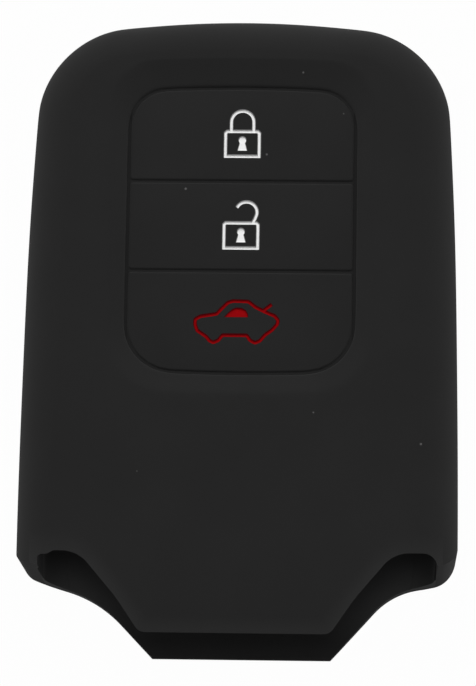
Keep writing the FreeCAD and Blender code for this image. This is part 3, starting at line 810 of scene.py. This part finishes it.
@dataclass
class Sleeve:
    """The pouch: one soft wall round the hollow, with its dish, pad window, tongues and ears.

    Each row of row_swell is a place along and how far the sides swell out there. Each ring of the dish
    is how far it lies beyond the window's sides, top and bottom, and its height against the front.
    """

    layout: Layout
    # The bowed outline and its corners at the closed end.
    width: float = 46.3
    length: float = 67.5
    wall: float = 2.0
    side_radius: float = 1150.0
    widest: float = -25.45
    top_radius: float = 101.0
    row_swell: tuple[Spot, ...] = ((-12.0, 0.02), (-4.0, 0.04), (4.0, 0.11), (12.0, 0.15), (20.0, 0.06))
    columns: tuple[float, ...] = (3.5, 7.0, 10.2)
    corner_zone: Spot = (20.0, 29.0)
    corner_run: float = 8.9
    corner_segments: int = 12
    corner_lift: Spot = (0.06, 0.68)
    # The round edges of the front and the back.
    front_round: float = 4.4
    front_segments: int = 16
    back_round: float = 4.0
    back_segments: int = 8
    subdivisions: int = 2
    # The mouth, its lining and its cuts.
    base_row: float = -20.0
    mouth_row: float = -35.0
    mouth_bead: float = 0.7
    mouth_fillet: float = 2.6
    fillet_zone: float = 2.1
    lining_slack: Spot = (0.1, 0.05)
    undercut: float = 2.4
    cut_floor: float = 6.0
    cut_proud: float = 0.05
    left_front_line: TrimLine = TrimLine((
        *FRONT_TONGUE,
        (16.4, -24.6, 3.5),
        (18.9, -24.6, 0.6),
        (19.5, -24.95, 0.6),
        (20.62, -25.05, 0.5),
        (20.62, -30.0, 0.0),
    ))
    right_front_line: TrimLine = TrimLine((
        *FRONT_TONGUE,
        (16.4, -24.5, 3.5),
        (20.95, -24.5, 1.6),
        (20.95, -30.0, 0.0),
    ))
    left_back_line: TrimLine = TrimLine((
        (0.0, -33.75, 0.0),
        (9.3, -33.75, 0.0),
        (15.2, -27.55, 13.0),
        (23.14, -25.21, 1.5),
        *OPEN_SIDE,
    ))
    right_back_line: TrimLine = TrimLine((
        (0.0, -33.75, 0.0),
        (9.82, -33.75, 0.0),
        (16.4, -26.35, 8.0),
        (23.14, -25.3, 2.6),
        *OPEN_SIDE,
    ))
    # The dish round the pad window.
    front_strip: float = 0.2
    window_margin: float = 0.5
    dish_rows: tuple[float, ...] = (-1.5, 4.0, 9.5, 15.0, 20.0)
    dish_rings: tuple[tuple[float, float, float, float], ...] = (
        (0.0, 0.0, 0.0, -0.8),
        (0.14, 0.24, 0.18, -0.74),
        (1.1, 1.98, 1.42, -0.28),
        (1.7, 2.95, 2.15, 0.0),
        (2.4, 3.05, 2.85, 0.0),
    )

    def at_corner(self, at: Vector) -> bool:
        """Say whether a place belongs to one of the closed end's corners."""
        return abs(at.x) > self.corner_zone[0] and at.y > self.corner_zone[1]

    def shaped_block(self) -> Bench:
        """Shape a block to the bowed sides and the arched top, and open its mouth.

        Returns:
            The bench with the open skin.
        """
        half, end = self.width / 2, self.length / 2
        bench = Bench.block("sleeve_skin", (-half, self.mouth_row, 0.0), (half, end, self.layout.thickness))
        swell = {self.base_row: 0.0, **dict(self.row_swell)}
        bench.slice(Way.ALONG, tuple(swell))
        bench.slice(Way.ACROSS, both_sides(self.columns))
        for along in (self.mouth_row, *swell, end):
            bench.pick(Pick.VERT, lambda v: near(spot(v).y, along) and near(abs(spot(v).x), half))
            inward = (along - self.widest) ** 2 / (2 * self.side_radius) - swell.get(along, 0.0)
            bench.stretch(((half - inward) / half, 1, 1), (0, 0, 0))
        for across in {round(abs(s.x), 3) for s in bench.spots(lambda v: near(spot(v).y, end))}:
            bench.pick(Pick.VERT, lambda v: near(spot(v).y, end) and near(abs(spot(v).x), across))
            bench.move(0, -across ** 2 / (2 * self.top_radius), 0)
        for side in (1, -1):
            bench.pick(Pick.VERT, lambda v: self.at_corner(spot(v)) and spot(v).x * side > 0)
            bench.move(side * self.corner_lift[0], self.corner_lift[1], 0)
        bench.pick(Pick.FACE, lambda f: f.normal.y < -FLAT)
        bench.drop(Drop.FACES)
        return bench

    def round_outside(self, bench: Bench) -> None:
        """Round the upper corners in plan and the edges all round the front and the back.

        Args:
            bench: The bench with the open skin.
        """
        def upright_corner(edge: bmesh.types.BMEdge) -> bool:
            """Say whether an edge runs up one of the closed end's corners."""
            return abs(edge.verts[0].co.z - edge.verts[1].co.z) > MM and self.at_corner(spot(edge))

        bench.pick(Pick.EDGE, upright_corner)
        bench.bevel(self.corner_run, self.corner_segments)
        front = (self.layout.thickness, self.front_round, self.front_segments)
        back = (0.0, self.back_round, self.back_segments)
        for level, radius, segments in (front, back):
            bench.pick(
                Pick.EDGE,
                lambda e: all(near(v.co.z / MM, level) for v in e.verts) and beside_wall(e),
            )
            bench.bevel(radius, segments)

    def give_wall(self, bench: Bench) -> None:
        """Thicken the skin inwards, with a bead and fuller fillets inside the mouth's sides.

        Args:
            bench: The bench with the open skin and its dish.
        """
        bench.thicken(self.wall, -1.0)
        inside, back, front = self.width / 2 - self.wall, self.wall, self.layout.thickness - self.wall
        aside, above = self.lining_slack
        rim = self.base_row - SPARE

        def lining(v: bmesh.types.BMVert) -> bool:
            """Say whether a vertex lines the mouth."""
            at = spot(v)
            return at.y < rim and abs(at.x) < inside + aside and back - above < at.z < front + above

        def fillet(v: bmesh.types.BMVert, side: int) -> bool:
            """Say whether a vertex lies in the mouth's lower fillet on one side."""
            at = spot(v)
            return lining(v) and at.x * side > inside - self.fillet_zone and at.z < back + self.fillet_zone

        for side in (1, -1):
            bench.pick(Pick.VERT, lambda v: fillet(v, side))
            bench.stretch((self.mouth_fillet, 1, self.mouth_fillet), (side * inside, 0, back))
        bench.pick(Pick.VERT, lining)
        bench.stretch((1 - self.mouth_bead / inside, 1, 1), (0, 0, 0))

    def cut_beyond(self, bench: Bench, line: Sequence[Spot], low: float, lean: float) -> None:
        """Cut away what lies beyond a line across the mouth, from a height upwards.

        Args:
            bench: The bench with the finished wall.
            line: The line, from left to right.
            low: Height that the cut starts at.
            lean: How far it is drawn in at that height.
        """
        beyond = ((line[-1][0], -self.length), (line[0][0], -self.length))
        tool = Bench.ring("beyond", (*line, *beyond), low, filled=True)
        tool.raise_up(self.layout.thickness + self.cut_proud - low)
        tool.pick(Pick.VERT, lambda v: near(spot(v).z, low))
        tool.move(0, lean, 0)
        bench.combine(tool, Join.CUT)

    def trim_mouth(self, bench: Bench) -> None:
        """Cut the tongues, notches, ears and shoulders.

        Args:
            bench: The bench with the finished wall.
        """
        shoulders = self.left_back_line.mirrored() + self.right_back_line.samples()
        self.cut_beyond(bench, shoulders, -SPARE, 0.0)
        notches = self.left_front_line.mirrored() + self.right_front_line.samples()
        self.cut_beyond(bench, notches, self.cut_floor, self.undercut)

    def dish_loops(self) -> tuple[Bench, list[set[Spot]]]:
        """Draw the dish as flat rings round the pad window.

        Returns:
            The bench with the rings, and the places of each ring's vertices.
        """
        plan = self.layout
        top, bottom, half = plan.window_top, plan.window_bottom, plan.window_half_width
        bench = plan.window("dish", plan.thickness)
        bench.mark(Way.ALONG, self.dish_rows)
        bench.pick(Pick.FACE, everything)
        bench.drop(Drop.FILLING)
        bench.pick(Pick.EDGE, everything)
        rings = [{in_plan(s) for s in bench.spots(everything)}]
        reach = self.dish_rings[0]
        for ring in self.dish_rings[1:]:
            bench.extrude_edges(0, 0, 0)
            before = (half + reach[0], top + reach[1] - bottom + reach[2])
            after = (half + ring[0], top + ring[1] - bottom + ring[2])
            middle = (top + reach[1] + bottom - reach[2]) / 2
            bench.stretch((after[0] / before[0], after[1] / before[1], 1), (0, middle, 0))
            bench.move(0, ((ring[1] - reach[1]) - (ring[2] - reach[2])) / 2, 0)
            rings.append({in_plan(s) for s in bench.spots(lambda v: v.select)})
            reach = ring
        return bench, rings

    def add_dish(self, bench: Bench) -> list[set[Spot]]:
        """Replace the plain front by rings round the window, joined to the front's edge.

        Args:
            bench: The bench with the open skin.

        Returns:
            The places of each ring's vertices, from the window outwards.
        """
        plan = self.layout
        bench.pick(
            Pick.FACE,
            lambda f: f.normal.z > FLAT and near(spot(f).z, plan.thickness) and spot(f).y > self.base_row,
        )
        bpy.ops.mesh.inset(thickness=self.front_strip * MM)
        bench.drop(Drop.FACES)
        dish, rings = self.dish_loops()
        bench.close()
        dish.piece.select_set(True)
        bpy.ops.object.join()
        bench.edit()
        inner = plan.window_half_width + self.window_margin
        lower, upper = plan.window_bottom - self.window_margin, plan.window_top + self.window_margin

        def open_edge(edge: bmesh.types.BMEdge) -> bool:
            """Say whether an edge borders the gap between the dish and the front's edge."""
            at = spot(edge)
            return (
                edge.is_boundary
                and near(at.z, plan.thickness)
                and at.y > self.base_row - NEAR
                and not (abs(at.x) < inner and lower < at.y < upper)
            )

        bench.pick(Pick.EDGE, open_edge)
        bpy.ops.mesh.fill(use_beauty=True)
        bench.face_outwards()
        return rings

    def sink_dish(self, bench: Bench, rings: Sequence[set[Spot]]) -> None:
        """Press the dish's rings down to their depths.

        Args:
            bench: The bench with the finished wall.
            rings: The places of each ring's vertices.
        """
        for places, ring in zip(rings, self.dish_rings):
            if ring[3]:
                bench.pick(
                    Pick.VERT,
                    lambda v: near(spot(v).z, self.layout.thickness) and in_plan(spot(v)) in places,
                )
                bench.move(0, 0, ring[3])

    def build(self, material: bpy.types.Material) -> None:
        """Model the sleeve and hand it over.

        Args:
            material: Its finish.
        """
        bench = self.shaped_block()
        self.round_outside(bench)
        rings = self.add_dish(bench)
        self.give_wall(bench)
        self.sink_dish(bench, rings)
        bench.modify("SUBSURF", levels=self.subdivisions, render_levels=self.subdivisions)
        self.trim_mouth(bench)
        bench.sweep()
        bench.smooth(SOFT_ANGLE)
        hand_over(bench, Body.COVER, "sleeve", material)


class PictogramStyle:
    """Widths and depths that every pictogram is drawn with."""

    STROKE = 0.4  # width of a line's channel
    FIT = 0.006  # how much narrower its lining is
    LINING = 0.075  # thickness of the lining's walls
    SAG = 0.055  # how far the lining's hollow lies towards the mouth
    DEPTH = 0.45  # depth of the channel
    FLOOR = 0.32  # thickness of the lining's floor
    SHY = 0.03  # how far the lining stays below the pad's top
    CLEAR = 0.3  # how far the lining's hollow reaches above the pad's top
    CORNER_SEGMENTS = 3


@dataclass(frozen=True)
class Stroke:
    """One drawn shape of a pictogram: an even line along its spots, or a filled outline."""

    spots: tuple[Spot, ...]
    closed: bool = False
    filled: bool = False
    corner: float = 0.0

    def solid(self, name: str, width: float, low: float, high: float) -> Bench:
        """Raise the shape to a solid.

        Args:
            name: The piece's name.
            width: Width of the line; a filled outline is as much smaller than at full width.
            low: Height of its underside.
            high: Height of its top.

        Returns:
            The bench with the solid.
        """
        bench = Bench.ring(name, self.spots, low, filled=self.closed)
        if self.corner:
            bench.pick(Pick.VERT, everything)
            bench.bevel(self.corner, PictogramStyle.CORNER_SEGMENTS, corners=True)
        if self.filled:
            self.shrink(bench, (PictogramStyle.STROKE - width) / 2)
            bench.raise_up(high - low)
            return bench
        if self.closed:
            bench.pick(Pick.FACE, everything)
            bench.drop(Drop.FILLING)
        else:
            last = len(self.spots) - 1
            bench.pick(Pick.EDGE, lambda e: {v.index for v in e.verts} == {0, last})
            bench.drop(Drop.EDGES)
        bench.pick(Pick.EDGE, everything)
        bench.extrude_edges(0, 0, high - low)
        bench.face_outwards()
        bench.thicken(width, 0.0)
        bench.face_outwards()
        return bench

    def shrink(self, bench: Bench, margin: float) -> None:
        """Draw a filled outline in by a margin all round.

        Args:
            bench: The bench with the outline.
            margin: How far each side is drawn in.
        """
        xs, ys = [x for x, _ in self.spots], [y for _, y in self.spots]
        wide, tall = max(xs) - min(xs), max(ys) - min(ys)
        centre = ((max(xs) + min(xs)) / 2, (max(ys) + min(ys)) / 2, 0)
        bench.pick(Pick.FACE, everything)
        bench.stretch(((wide - 2 * margin) / wide, (tall - 2 * margin) / tall, 1), centre)


def arc(centre: Spot, radius: float, start: float, stop: float, count: int) -> tuple[Spot, ...]:
    """List points on an arc.

    Args:
        centre: Its centre.
        radius: Its radius.
        start: Angle of the first point, in degrees.
        stop: Angle of the last point.
        count: How many points.

    Returns:
        The points in order.
    """
    turns = [math.radians(start + (stop - start) * k / (count - 1)) for k in range(count)]
    return tuple((centre[0] + radius * math.cos(t), centre[1] + radius * math.sin(t)) for t in turns)


@dataclass(frozen=True)
class Inlay:
    """A coloured lining of one or more strokes, set into a pad's top."""

    node: str
    strokes: tuple[Stroke, ...]

    def solid(self, name: str, width: float, low: float, high: float) -> Bench:
        """Fuse the strokes at one width and height into a solid.

        Args:
            name: The piece's name.
            width: Width of the lines.
            low: Height of the underside.
            high: Height of the top.

        Returns:
            The bench with the solid.
        """
        bench = self.strokes[0].solid(name, width, low, high)
        for stroke in self.strokes[1:]:
            bench.combine(stroke.solid(name + "_more", width, low, high), Join.FUSE)
        return bench

    def build(self, pad_top: float, body: Body, material: bpy.types.Material, slot: Slot) -> None:
        """Model the lining as a shallow tray and hand it over.

        Args:
            pad_top: Height of the pad's top.
            body: The body it rides on.
            material: Its finish.
            slot: The record's material slot; not used.
        """
        style = PictogramStyle
        floor = pad_top - style.DEPTH
        bench = self.solid(self.node + "_lining", style.STROKE - style.FIT, floor, pad_top - style.SHY)
        hollow_width = style.STROKE - 2 * style.LINING
        inside = self.solid("inside", hollow_width, floor + style.FLOOR, pad_top + style.CLEAR)
        inside.edit()
        inside.pick(Pick.VERT, everything)
        inside.move(0, -style.SAG, 0)
        bench.combine(inside, Join.CUT)
        bench.smooth(CRISP_ANGLE)
        hand_over(bench, body, self.node, material)


@dataclass
class PressPad:
    """One press pad with its recessed pictogram; pairs of values are for its upper and its lower end."""

    layout: Layout
    node: str
    body: Body
    ends: Spot
    rounds: Spot
    arches: Spot
    inlays: tuple[Inlay, ...]
    edge_round: float = 0.2
    edge_segments: int = 4

    def prism(self, name: str, grow: float, low: float, high: float) -> Bench:
        """Raise the pad's plan between two heights.

        Args:
            name: The piece's name.
            grow: Margin that the plan is grown by.
            low: Height of the underside.
            high: Height of the top.

        Returns:
            The bench with the prism.
        """
        half = self.layout.window_half_width - self.layout.groove + grow
        rounds = tuple(r + grow for r in self.rounds)
        top, bottom = self.ends
        bench = panel(name, half, top + grow, bottom - grow, rounds, self.arches, low)
        bench.raise_up(high - low)
        return bench

    def build(self, silicone: bpy.types.Material, ink: bpy.types.Material, ink_slot: Slot) -> None:
        """Model the pad and its linings and hand them over.

        Args:
            silicone: Finish of the pad.
            ink: Finish of the linings.
            ink_slot: The linings' slot in the record.
        """
        level, style = self.layout.pad_top, PictogramStyle
        bench = self.prism(self.node + "_pad", 0.0, self.layout.ceiling, level)
        bench.pick(Pick.EDGE, lambda e: near(spot(e).z, level) and beside_wall(e))
        bench.bevel(self.edge_round, self.edge_segments)
        for inlay in self.inlays:
            channel = inlay.solid("channel", style.STROKE, level - style.DEPTH, level + SPARE)
            bench.combine(channel, Join.CUT)
        bench.smooth(SOFT_ANGLE)
        hand_over(bench, self.body, self.node, silicone)
        for inlay in self.inlays:
            inlay.build(level, self.body, ink, ink_slot)


@dataclass
class Web:
    """The thin web at the bottom of the grooves, open where the pads move."""

    layout: Layout
    pads: tuple[PressPad, ...]
    gap: float = 0.015
    gutter: float = 0.18

    def build(self, material: bpy.types.Material) -> None:
        """Model the web and hand it over.

        Args:
            material: Its finish.
        """
        plan = self.layout
        above = plan.web_top + SPARE
        bench = plan.window("web", plan.web_top - plan.web_thickness)
        bench.raise_up(plan.web_thickness)
        for pad in self.pads:
            bench.combine(pad.prism("opening", self.gap, plan.ceiling - SPARE, above), Join.CUT)
        inner, outer = plan.window_half_width - plan.groove, plan.window_half_width + SPARE
        for left, right in ((-outer, -inner), (inner, outer)):
            low = (left, plan.window_bottom - SPARE, plan.web_top - self.gutter)
            high = (right, plan.window_top + SPARE, above)
            bench.combine(Bench.block("gutter", low, high), Join.CUT)
        bench.smooth(CRISP_ANGLE)
        hand_over(bench, Body.COVER, "button_web", material)


@dataclass(frozen=True)
class Padlock:
    """A padlock pictogram, with its heights given from the pad's centre."""

    centre: float
    half_width: float = 1.79
    foot: float = -2.49
    shoulder: float = 0.24
    nick: float = 0.18
    hole_height: float = -0.71
    hole_radius: float = 0.43
    hole_sweep: Spot = (-45.0, 225.0)
    hole_points: int = 17
    slot_foot: float = -1.9
    slot_half_width: float = 0.55
    shackle_height: float = 1.3
    shackle_radius: float = 1.19
    swung_centre: Spot = (0.55, 1.42)
    swung_radius: float = 1.12
    swung_sweep: Spot = (-15.0, 155.0)
    swung_leg: tuple[Spot, Spot] = ((1.22, 0.24), (1.46, 0.68))
    shackle_points: int = 19

    def case(self) -> Stroke:
        """Draw the padlock's body.

        Returns:
            Its line, with the upper corners nicked.
        """
        half, low, high = self.half_width, self.centre + self.foot, self.centre + self.shoulder
        left = ((-half + self.nick, high), (-half, high - self.nick), (-half, low))
        right = ((half, low), (half, high - self.nick), (half - self.nick, high))
        return Stroke(left + right, closed=True)

    def keyhole(self) -> Stroke:
        """Draw the keyhole.

        Returns:
            Its filled outline, round above and flared below.
        """
        head_centre = (0.0, self.centre + self.hole_height)
        head = arc(head_centre, self.hole_radius, *self.hole_sweep, self.hole_points)
        half, low = self.slot_half_width, self.centre + self.slot_foot
        return Stroke(head + ((-half, low), (half, low)), closed=True, filled=True)

    def shut_shackle(self) -> Stroke:
        """Draw the closed shackle.

        Returns:
            Its line, from one leg to the other.
        """
        radius, low = self.shackle_radius, self.centre + self.shoulder
        bow = arc((0.0, self.centre + self.shackle_height), radius, 0.0, 180.0, self.shackle_points)
        return Stroke(((radius, low),) + bow + ((-radius, low),))

    def swung_shackle(self) -> Stroke:
        """Draw the open shackle.

        Returns:
            Its line, from the leg that it stands on to its free end.
        """
        across, up = self.swung_centre
        bow = arc((across, self.centre + up), self.swung_radius, *self.swung_sweep, self.shackle_points)
        return Stroke(tuple((x, self.centre + y) for x, y in self.swung_leg) + bow)


@dataclass(frozen=True)
class Car:
    """A car pictogram with its lid raised, its outline in shares of its length and height."""

    centre: float
    shift: float = -0.34
    length: float = 8.52
    height: float = 4.58
    corner: float = 0.1
    lid_foot: Spot = (0.335, 0.27)
    lid_slope: float = 38.0
    lid_reaches: tuple[float, ...] = (0.0, 0.5, 1.1)
    sill: float = 0.49
    dome: tuple[Spot, ...] = (
        (-1.32, 0.0), (1.27, 0.0), (1.22, 0.38), (1.0, 0.78),
        (0.56, 1.02), (0.0, 1.06), (-0.42, 0.9), (-0.88, 0.47),
    )
    nose: tuple[Spot, ...] = ((-0.506, 0.052), (-0.443, 0.123), (-0.242, 0.184))
    roof: tuple[Spot, ...] = (
        (-0.180, 0.311), (-0.104, 0.453), (-0.041, 0.490), (0.147, 0.480), (0.235, 0.350),
    )
    tail: tuple[Spot, ...] = (
        (0.348, 0.245), (0.474, 0.146), (0.515, 0.052), (0.510, -0.042), (0.445, -0.184),
    )
    rear_wheel: tuple[Spot, ...] = (
        (0.360, -0.300), (0.298, -0.440), (0.235, -0.490), (0.172, -0.430), (0.134, -0.316),
    )
    front_wheel: tuple[Spot, ...] = (
        (-0.167, -0.316), (-0.217, -0.440), (-0.280, -0.490), (-0.330, -0.443), (-0.368, -0.350),
    )
    bumper: tuple[Spot, ...] = ((-0.481, -0.210), (-0.508, -0.066))

    def at(self, share: Spot) -> Spot:
        """Return the place that a share of the length and height stands for."""
        return (self.length * share[0] + self.shift, self.centre + self.height * share[1])

    def outline(self) -> Stroke:
        """Return the line round the car."""
        shares = self.nose + self.roof + self.tail + self.rear_wheel + self.front_wheel + self.bumper
        return Stroke(tuple(self.at(share) for share in reversed(shares)), closed=True, corner=self.corner)

    def lid(self) -> Stroke:
        """Draw the raised lid.

        Returns:
            A line rising from the car's back.
        """
        (across, up), slope = self.at(self.lid_foot), math.radians(self.lid_slope)
        rise = Vector((math.cos(slope), math.sin(slope)))
        return Stroke(tuple((across + reach * rise.x, up + reach * rise.y) for reach in self.lid_reaches))

    def window(self) -> Stroke:
        """Return the filled window."""
        sill = self.centre + self.sill
        return Stroke(tuple((x + self.shift, sill + y) for x, y in self.dome), closed=True, filled=True)


@dataclass
class PadBlock:
    """The three press pads with their pictograms, and the web between them."""

    layout: Layout
    lock_ends: Spot = (25.4, 15.42)
    unlock_ends: Spot = (15.11, 5.67)
    trunk_ends: Spot = (5.36, -5.35)
    outer_rounds: Spot = (3.6, 4.6)
    inner_round: float = 0.3
    lock: Padlock = Padlock(20.55)
    unlock: Padlock = Padlock(10.52)
    car: Car = Car(0.03)

    def pads(self) -> tuple[PressPad, PressPad, PressPad]:
        """Describe the pads from the closed end to the mouth.

        Returns:
            The lock, unlock and trunk pads.
        """
        plan, arch, inner = self.layout, self.layout.arch, self.inner_round
        lock_inlays = (
            Inlay("lock_outline_inlay", (self.lock.case(), self.lock.shut_shackle())),
            Inlay("lock_keyhole_inlay", (self.lock.keyhole(),)),
        )
        unlock_inlays = (
            Inlay("unlock_outline_inlay", (self.unlock.case(), self.unlock.swung_shackle())),
            Inlay("unlock_keyhole_inlay", (self.unlock.keyhole(),)),
        )
        trunk_inlays = (
            Inlay("trunk_car_inlay", (self.car.outline(), self.car.lid())),
            Inlay("trunk_window_inlay", (self.car.window(),)),
        )
        straight = 0.0
        return (
            PressPad(
                plan,
                "lock_button",
                Body.LOCK,
                ends=self.lock_ends,
                rounds=(self.outer_rounds[0], inner),
                arches=(arch, straight),
                inlays=lock_inlays,
            ),
            PressPad(
                plan,
                "unlock_button",
                Body.UNLOCK,
                ends=self.unlock_ends,
                rounds=(inner, inner),
                arches=(straight, straight),
                inlays=unlock_inlays,
            ),
            PressPad(
                plan,
                "trunk_button",
                Body.TRUNK,
                ends=self.trunk_ends,
                rounds=(inner, self.outer_rounds[1]),
                arches=(straight, arch),
                inlays=trunk_inlays,
            ),
        )

    def build(
        self, silicone: bpy.types.Material, white: bpy.types.Material, red: bpy.types.Material
    ) -> None:
        """Model the pads, their linings and the web.

        Args:
            silicone: Finish of the pads and the web.
            white: Finish of the padlocks.
            red: Finish of the car.
        """
        lock, unlock, trunk = self.pads()
        Web(self.layout, (lock, unlock, trunk)).build(silicone)
        lock.build(silicone, white, Slot.WHITE)
        unlock.build(silicone, white, Slot.WHITE)
        trunk.build(silicone, red, Slot.RED)


@dataclass(frozen=True)
class Lamp:
    """A soft square lamp that faces the cover, with its place and side in metres and its power in watts."""

    name: str
    at: tuple[float, float, float]
    side: float
    power: float

    def hang(self) -> None:
        """Hang the lamp in the scene."""
        data = bpy.data.lights.new(self.name, "AREA")
        data.shape = "SQUARE"
        data.size = self.side
        data.energy = self.power
        lamp = bpy.data.objects.new(self.name, data)
        lamp.location = self.at
        lamp.rotation_mode = "QUATERNION"
        lamp.rotation_quaternion = Vector(self.at).to_track_quat("Z", "Y")
        bpy.context.collection.objects.link(lamp)


@dataclass
class Studio:
    """White floor and room, soft light and the camera at the photograph's angle."""

    tilt: float = 12.21
    turn: float = 1.98
    roll: float = 0.97
    distance: float = 380.0
    aim: tuple[float, float, float] = (-0.38, -0.589, 8.5)
    pixels_per_mm: float = 9.325
    frame_height: int = 686
    sensor: float = 36.0
    clip_start: float = 10.0
    floor_side: float = 4000.0
    floor_gap: float = 0.05
    paper: float = 0.5
    paper_white: float = 0.98
    room_light: float = 0.18
    room_white: float = 0.82
    lamps: tuple[Lamp, ...] = (
        Lamp("top_lamp", (0.0, 0.6, 0.5), 0.5, 2.8),
        Lamp("front_lamp", (0.02, 0.0, 0.8), 0.25, 1.65),
        Lamp("left_lamp", (-0.65, 0.25, 0.2), 0.5, 2.4),
        Lamp("right_lamp", (0.65, 0.25, 0.2), 0.5, 2.3),
        Lamp("mouth_lamp", (0.0, -0.6, 0.25), 0.4, 0.4),
    )

    def place_camera(self) -> None:
        """Set the camera where the photograph was taken from."""
        tilt, turn, roll = (math.radians(a) for a in (self.tilt, self.turn, self.roll))
        away = Vector((math.sin(turn), -math.sin(tilt), math.cos(tilt) * math.cos(turn))).normalized()
        up = (Vector((0, 1, 0)) - away * away.y).normalized()
        right = up.cross(away)
        across = right * math.cos(roll) + up * math.sin(roll)
        upright = up * math.cos(roll) - right * math.sin(roll)
        data = bpy.data.cameras.new("camera")
        data.sensor_width = self.sensor
        data.lens = self.pixels_per_mm * self.distance * self.sensor / self.frame_height
        data.clip_start = self.clip_start * MM
        camera = bpy.data.objects.new("camera", data)
        turned = Matrix((across, upright, away)).transposed().to_4x4()
        turned.translation = (Vector(self.aim) + away * self.distance) * MM
        camera.matrix_world = turned
        bpy.context.collection.objects.link(camera)
        bpy.context.scene.camera = camera

    def lay_floor(self) -> None:
        """Lay the white floor that the cover rests on."""
        Bench.clear()
        bpy.ops.mesh.primitive_plane_add(size=self.floor_side * MM, location=(0, 0, -self.floor_gap * MM))
        floor = bpy.context.object
        floor.name = "floor"
        recipe = Recipe(bpy.data.materials.new("floor_paper"))
        paper = recipe.node("ShaderNodeBsdfDiffuse", None, Color=grey(self.paper))
        bright = recipe.node("ShaderNodeEmission", None, Color=grey(1.0), Strength=1.0)
        share = recipe.onlookers() * self.paper_white
        mixed = recipe.node(
            "ShaderNodeMixShader", None, in_0=share, in_1=paper.outputs[0], in_2=bright.outputs[0]
        )
        floor.data.materials.append(recipe.finish(mixed))

    def light(self) -> None:
        """Light the cover softly from above, from both ends and from both sides."""
        recipe = Recipe(bpy.data.worlds.new("studio"), "ShaderNodeOutputWorld")
        strength = self.room_light + recipe.onlookers() * self.room_white
        room = recipe.node("ShaderNodeBackground", None, Color=grey(1.0), Strength=strength)
        bpy.context.scene.world = recipe.finish(room)
        for lamp in self.lamps:
            lamp.hang()
        bpy.context.scene.view_settings.view_transform = "Standard"

    def build(self) -> None:
        """Set up the whole studio."""
        self.place_camera()
        self.lay_floor()
        self.light()


def main() -> None:
    """Model the cover piece by piece, then set up the studio."""
    logging.basicConfig(level=logging.INFO, format="%(name)s: %(message)s")
    silicone = MouldedSilicone().make()
    # The inks' wall colours are painted shade on the channel walls.
    white = ChannelInk(Slot.WHITE, thin=grey(0.92), full=grey(0.97), wall=grey(0.22), shine=0.1).make()
    red = ChannelInk(
        Slot.RED,
        thin=(0.25, 0.003, 0.005, 1.0),
        full=(0.32, 0.003, 0.004, 1.0),
        wall=(0.07, 0.001, 0.003, 1.0),
        shine=0.0,
    ).make()
    layout = Layout()
    Sleeve(layout).build(silicone)
    PadBlock(layout).build(silicone, white, red)
    Studio().build()
    Bench.clear()


if __name__ == "__main__":
    main()
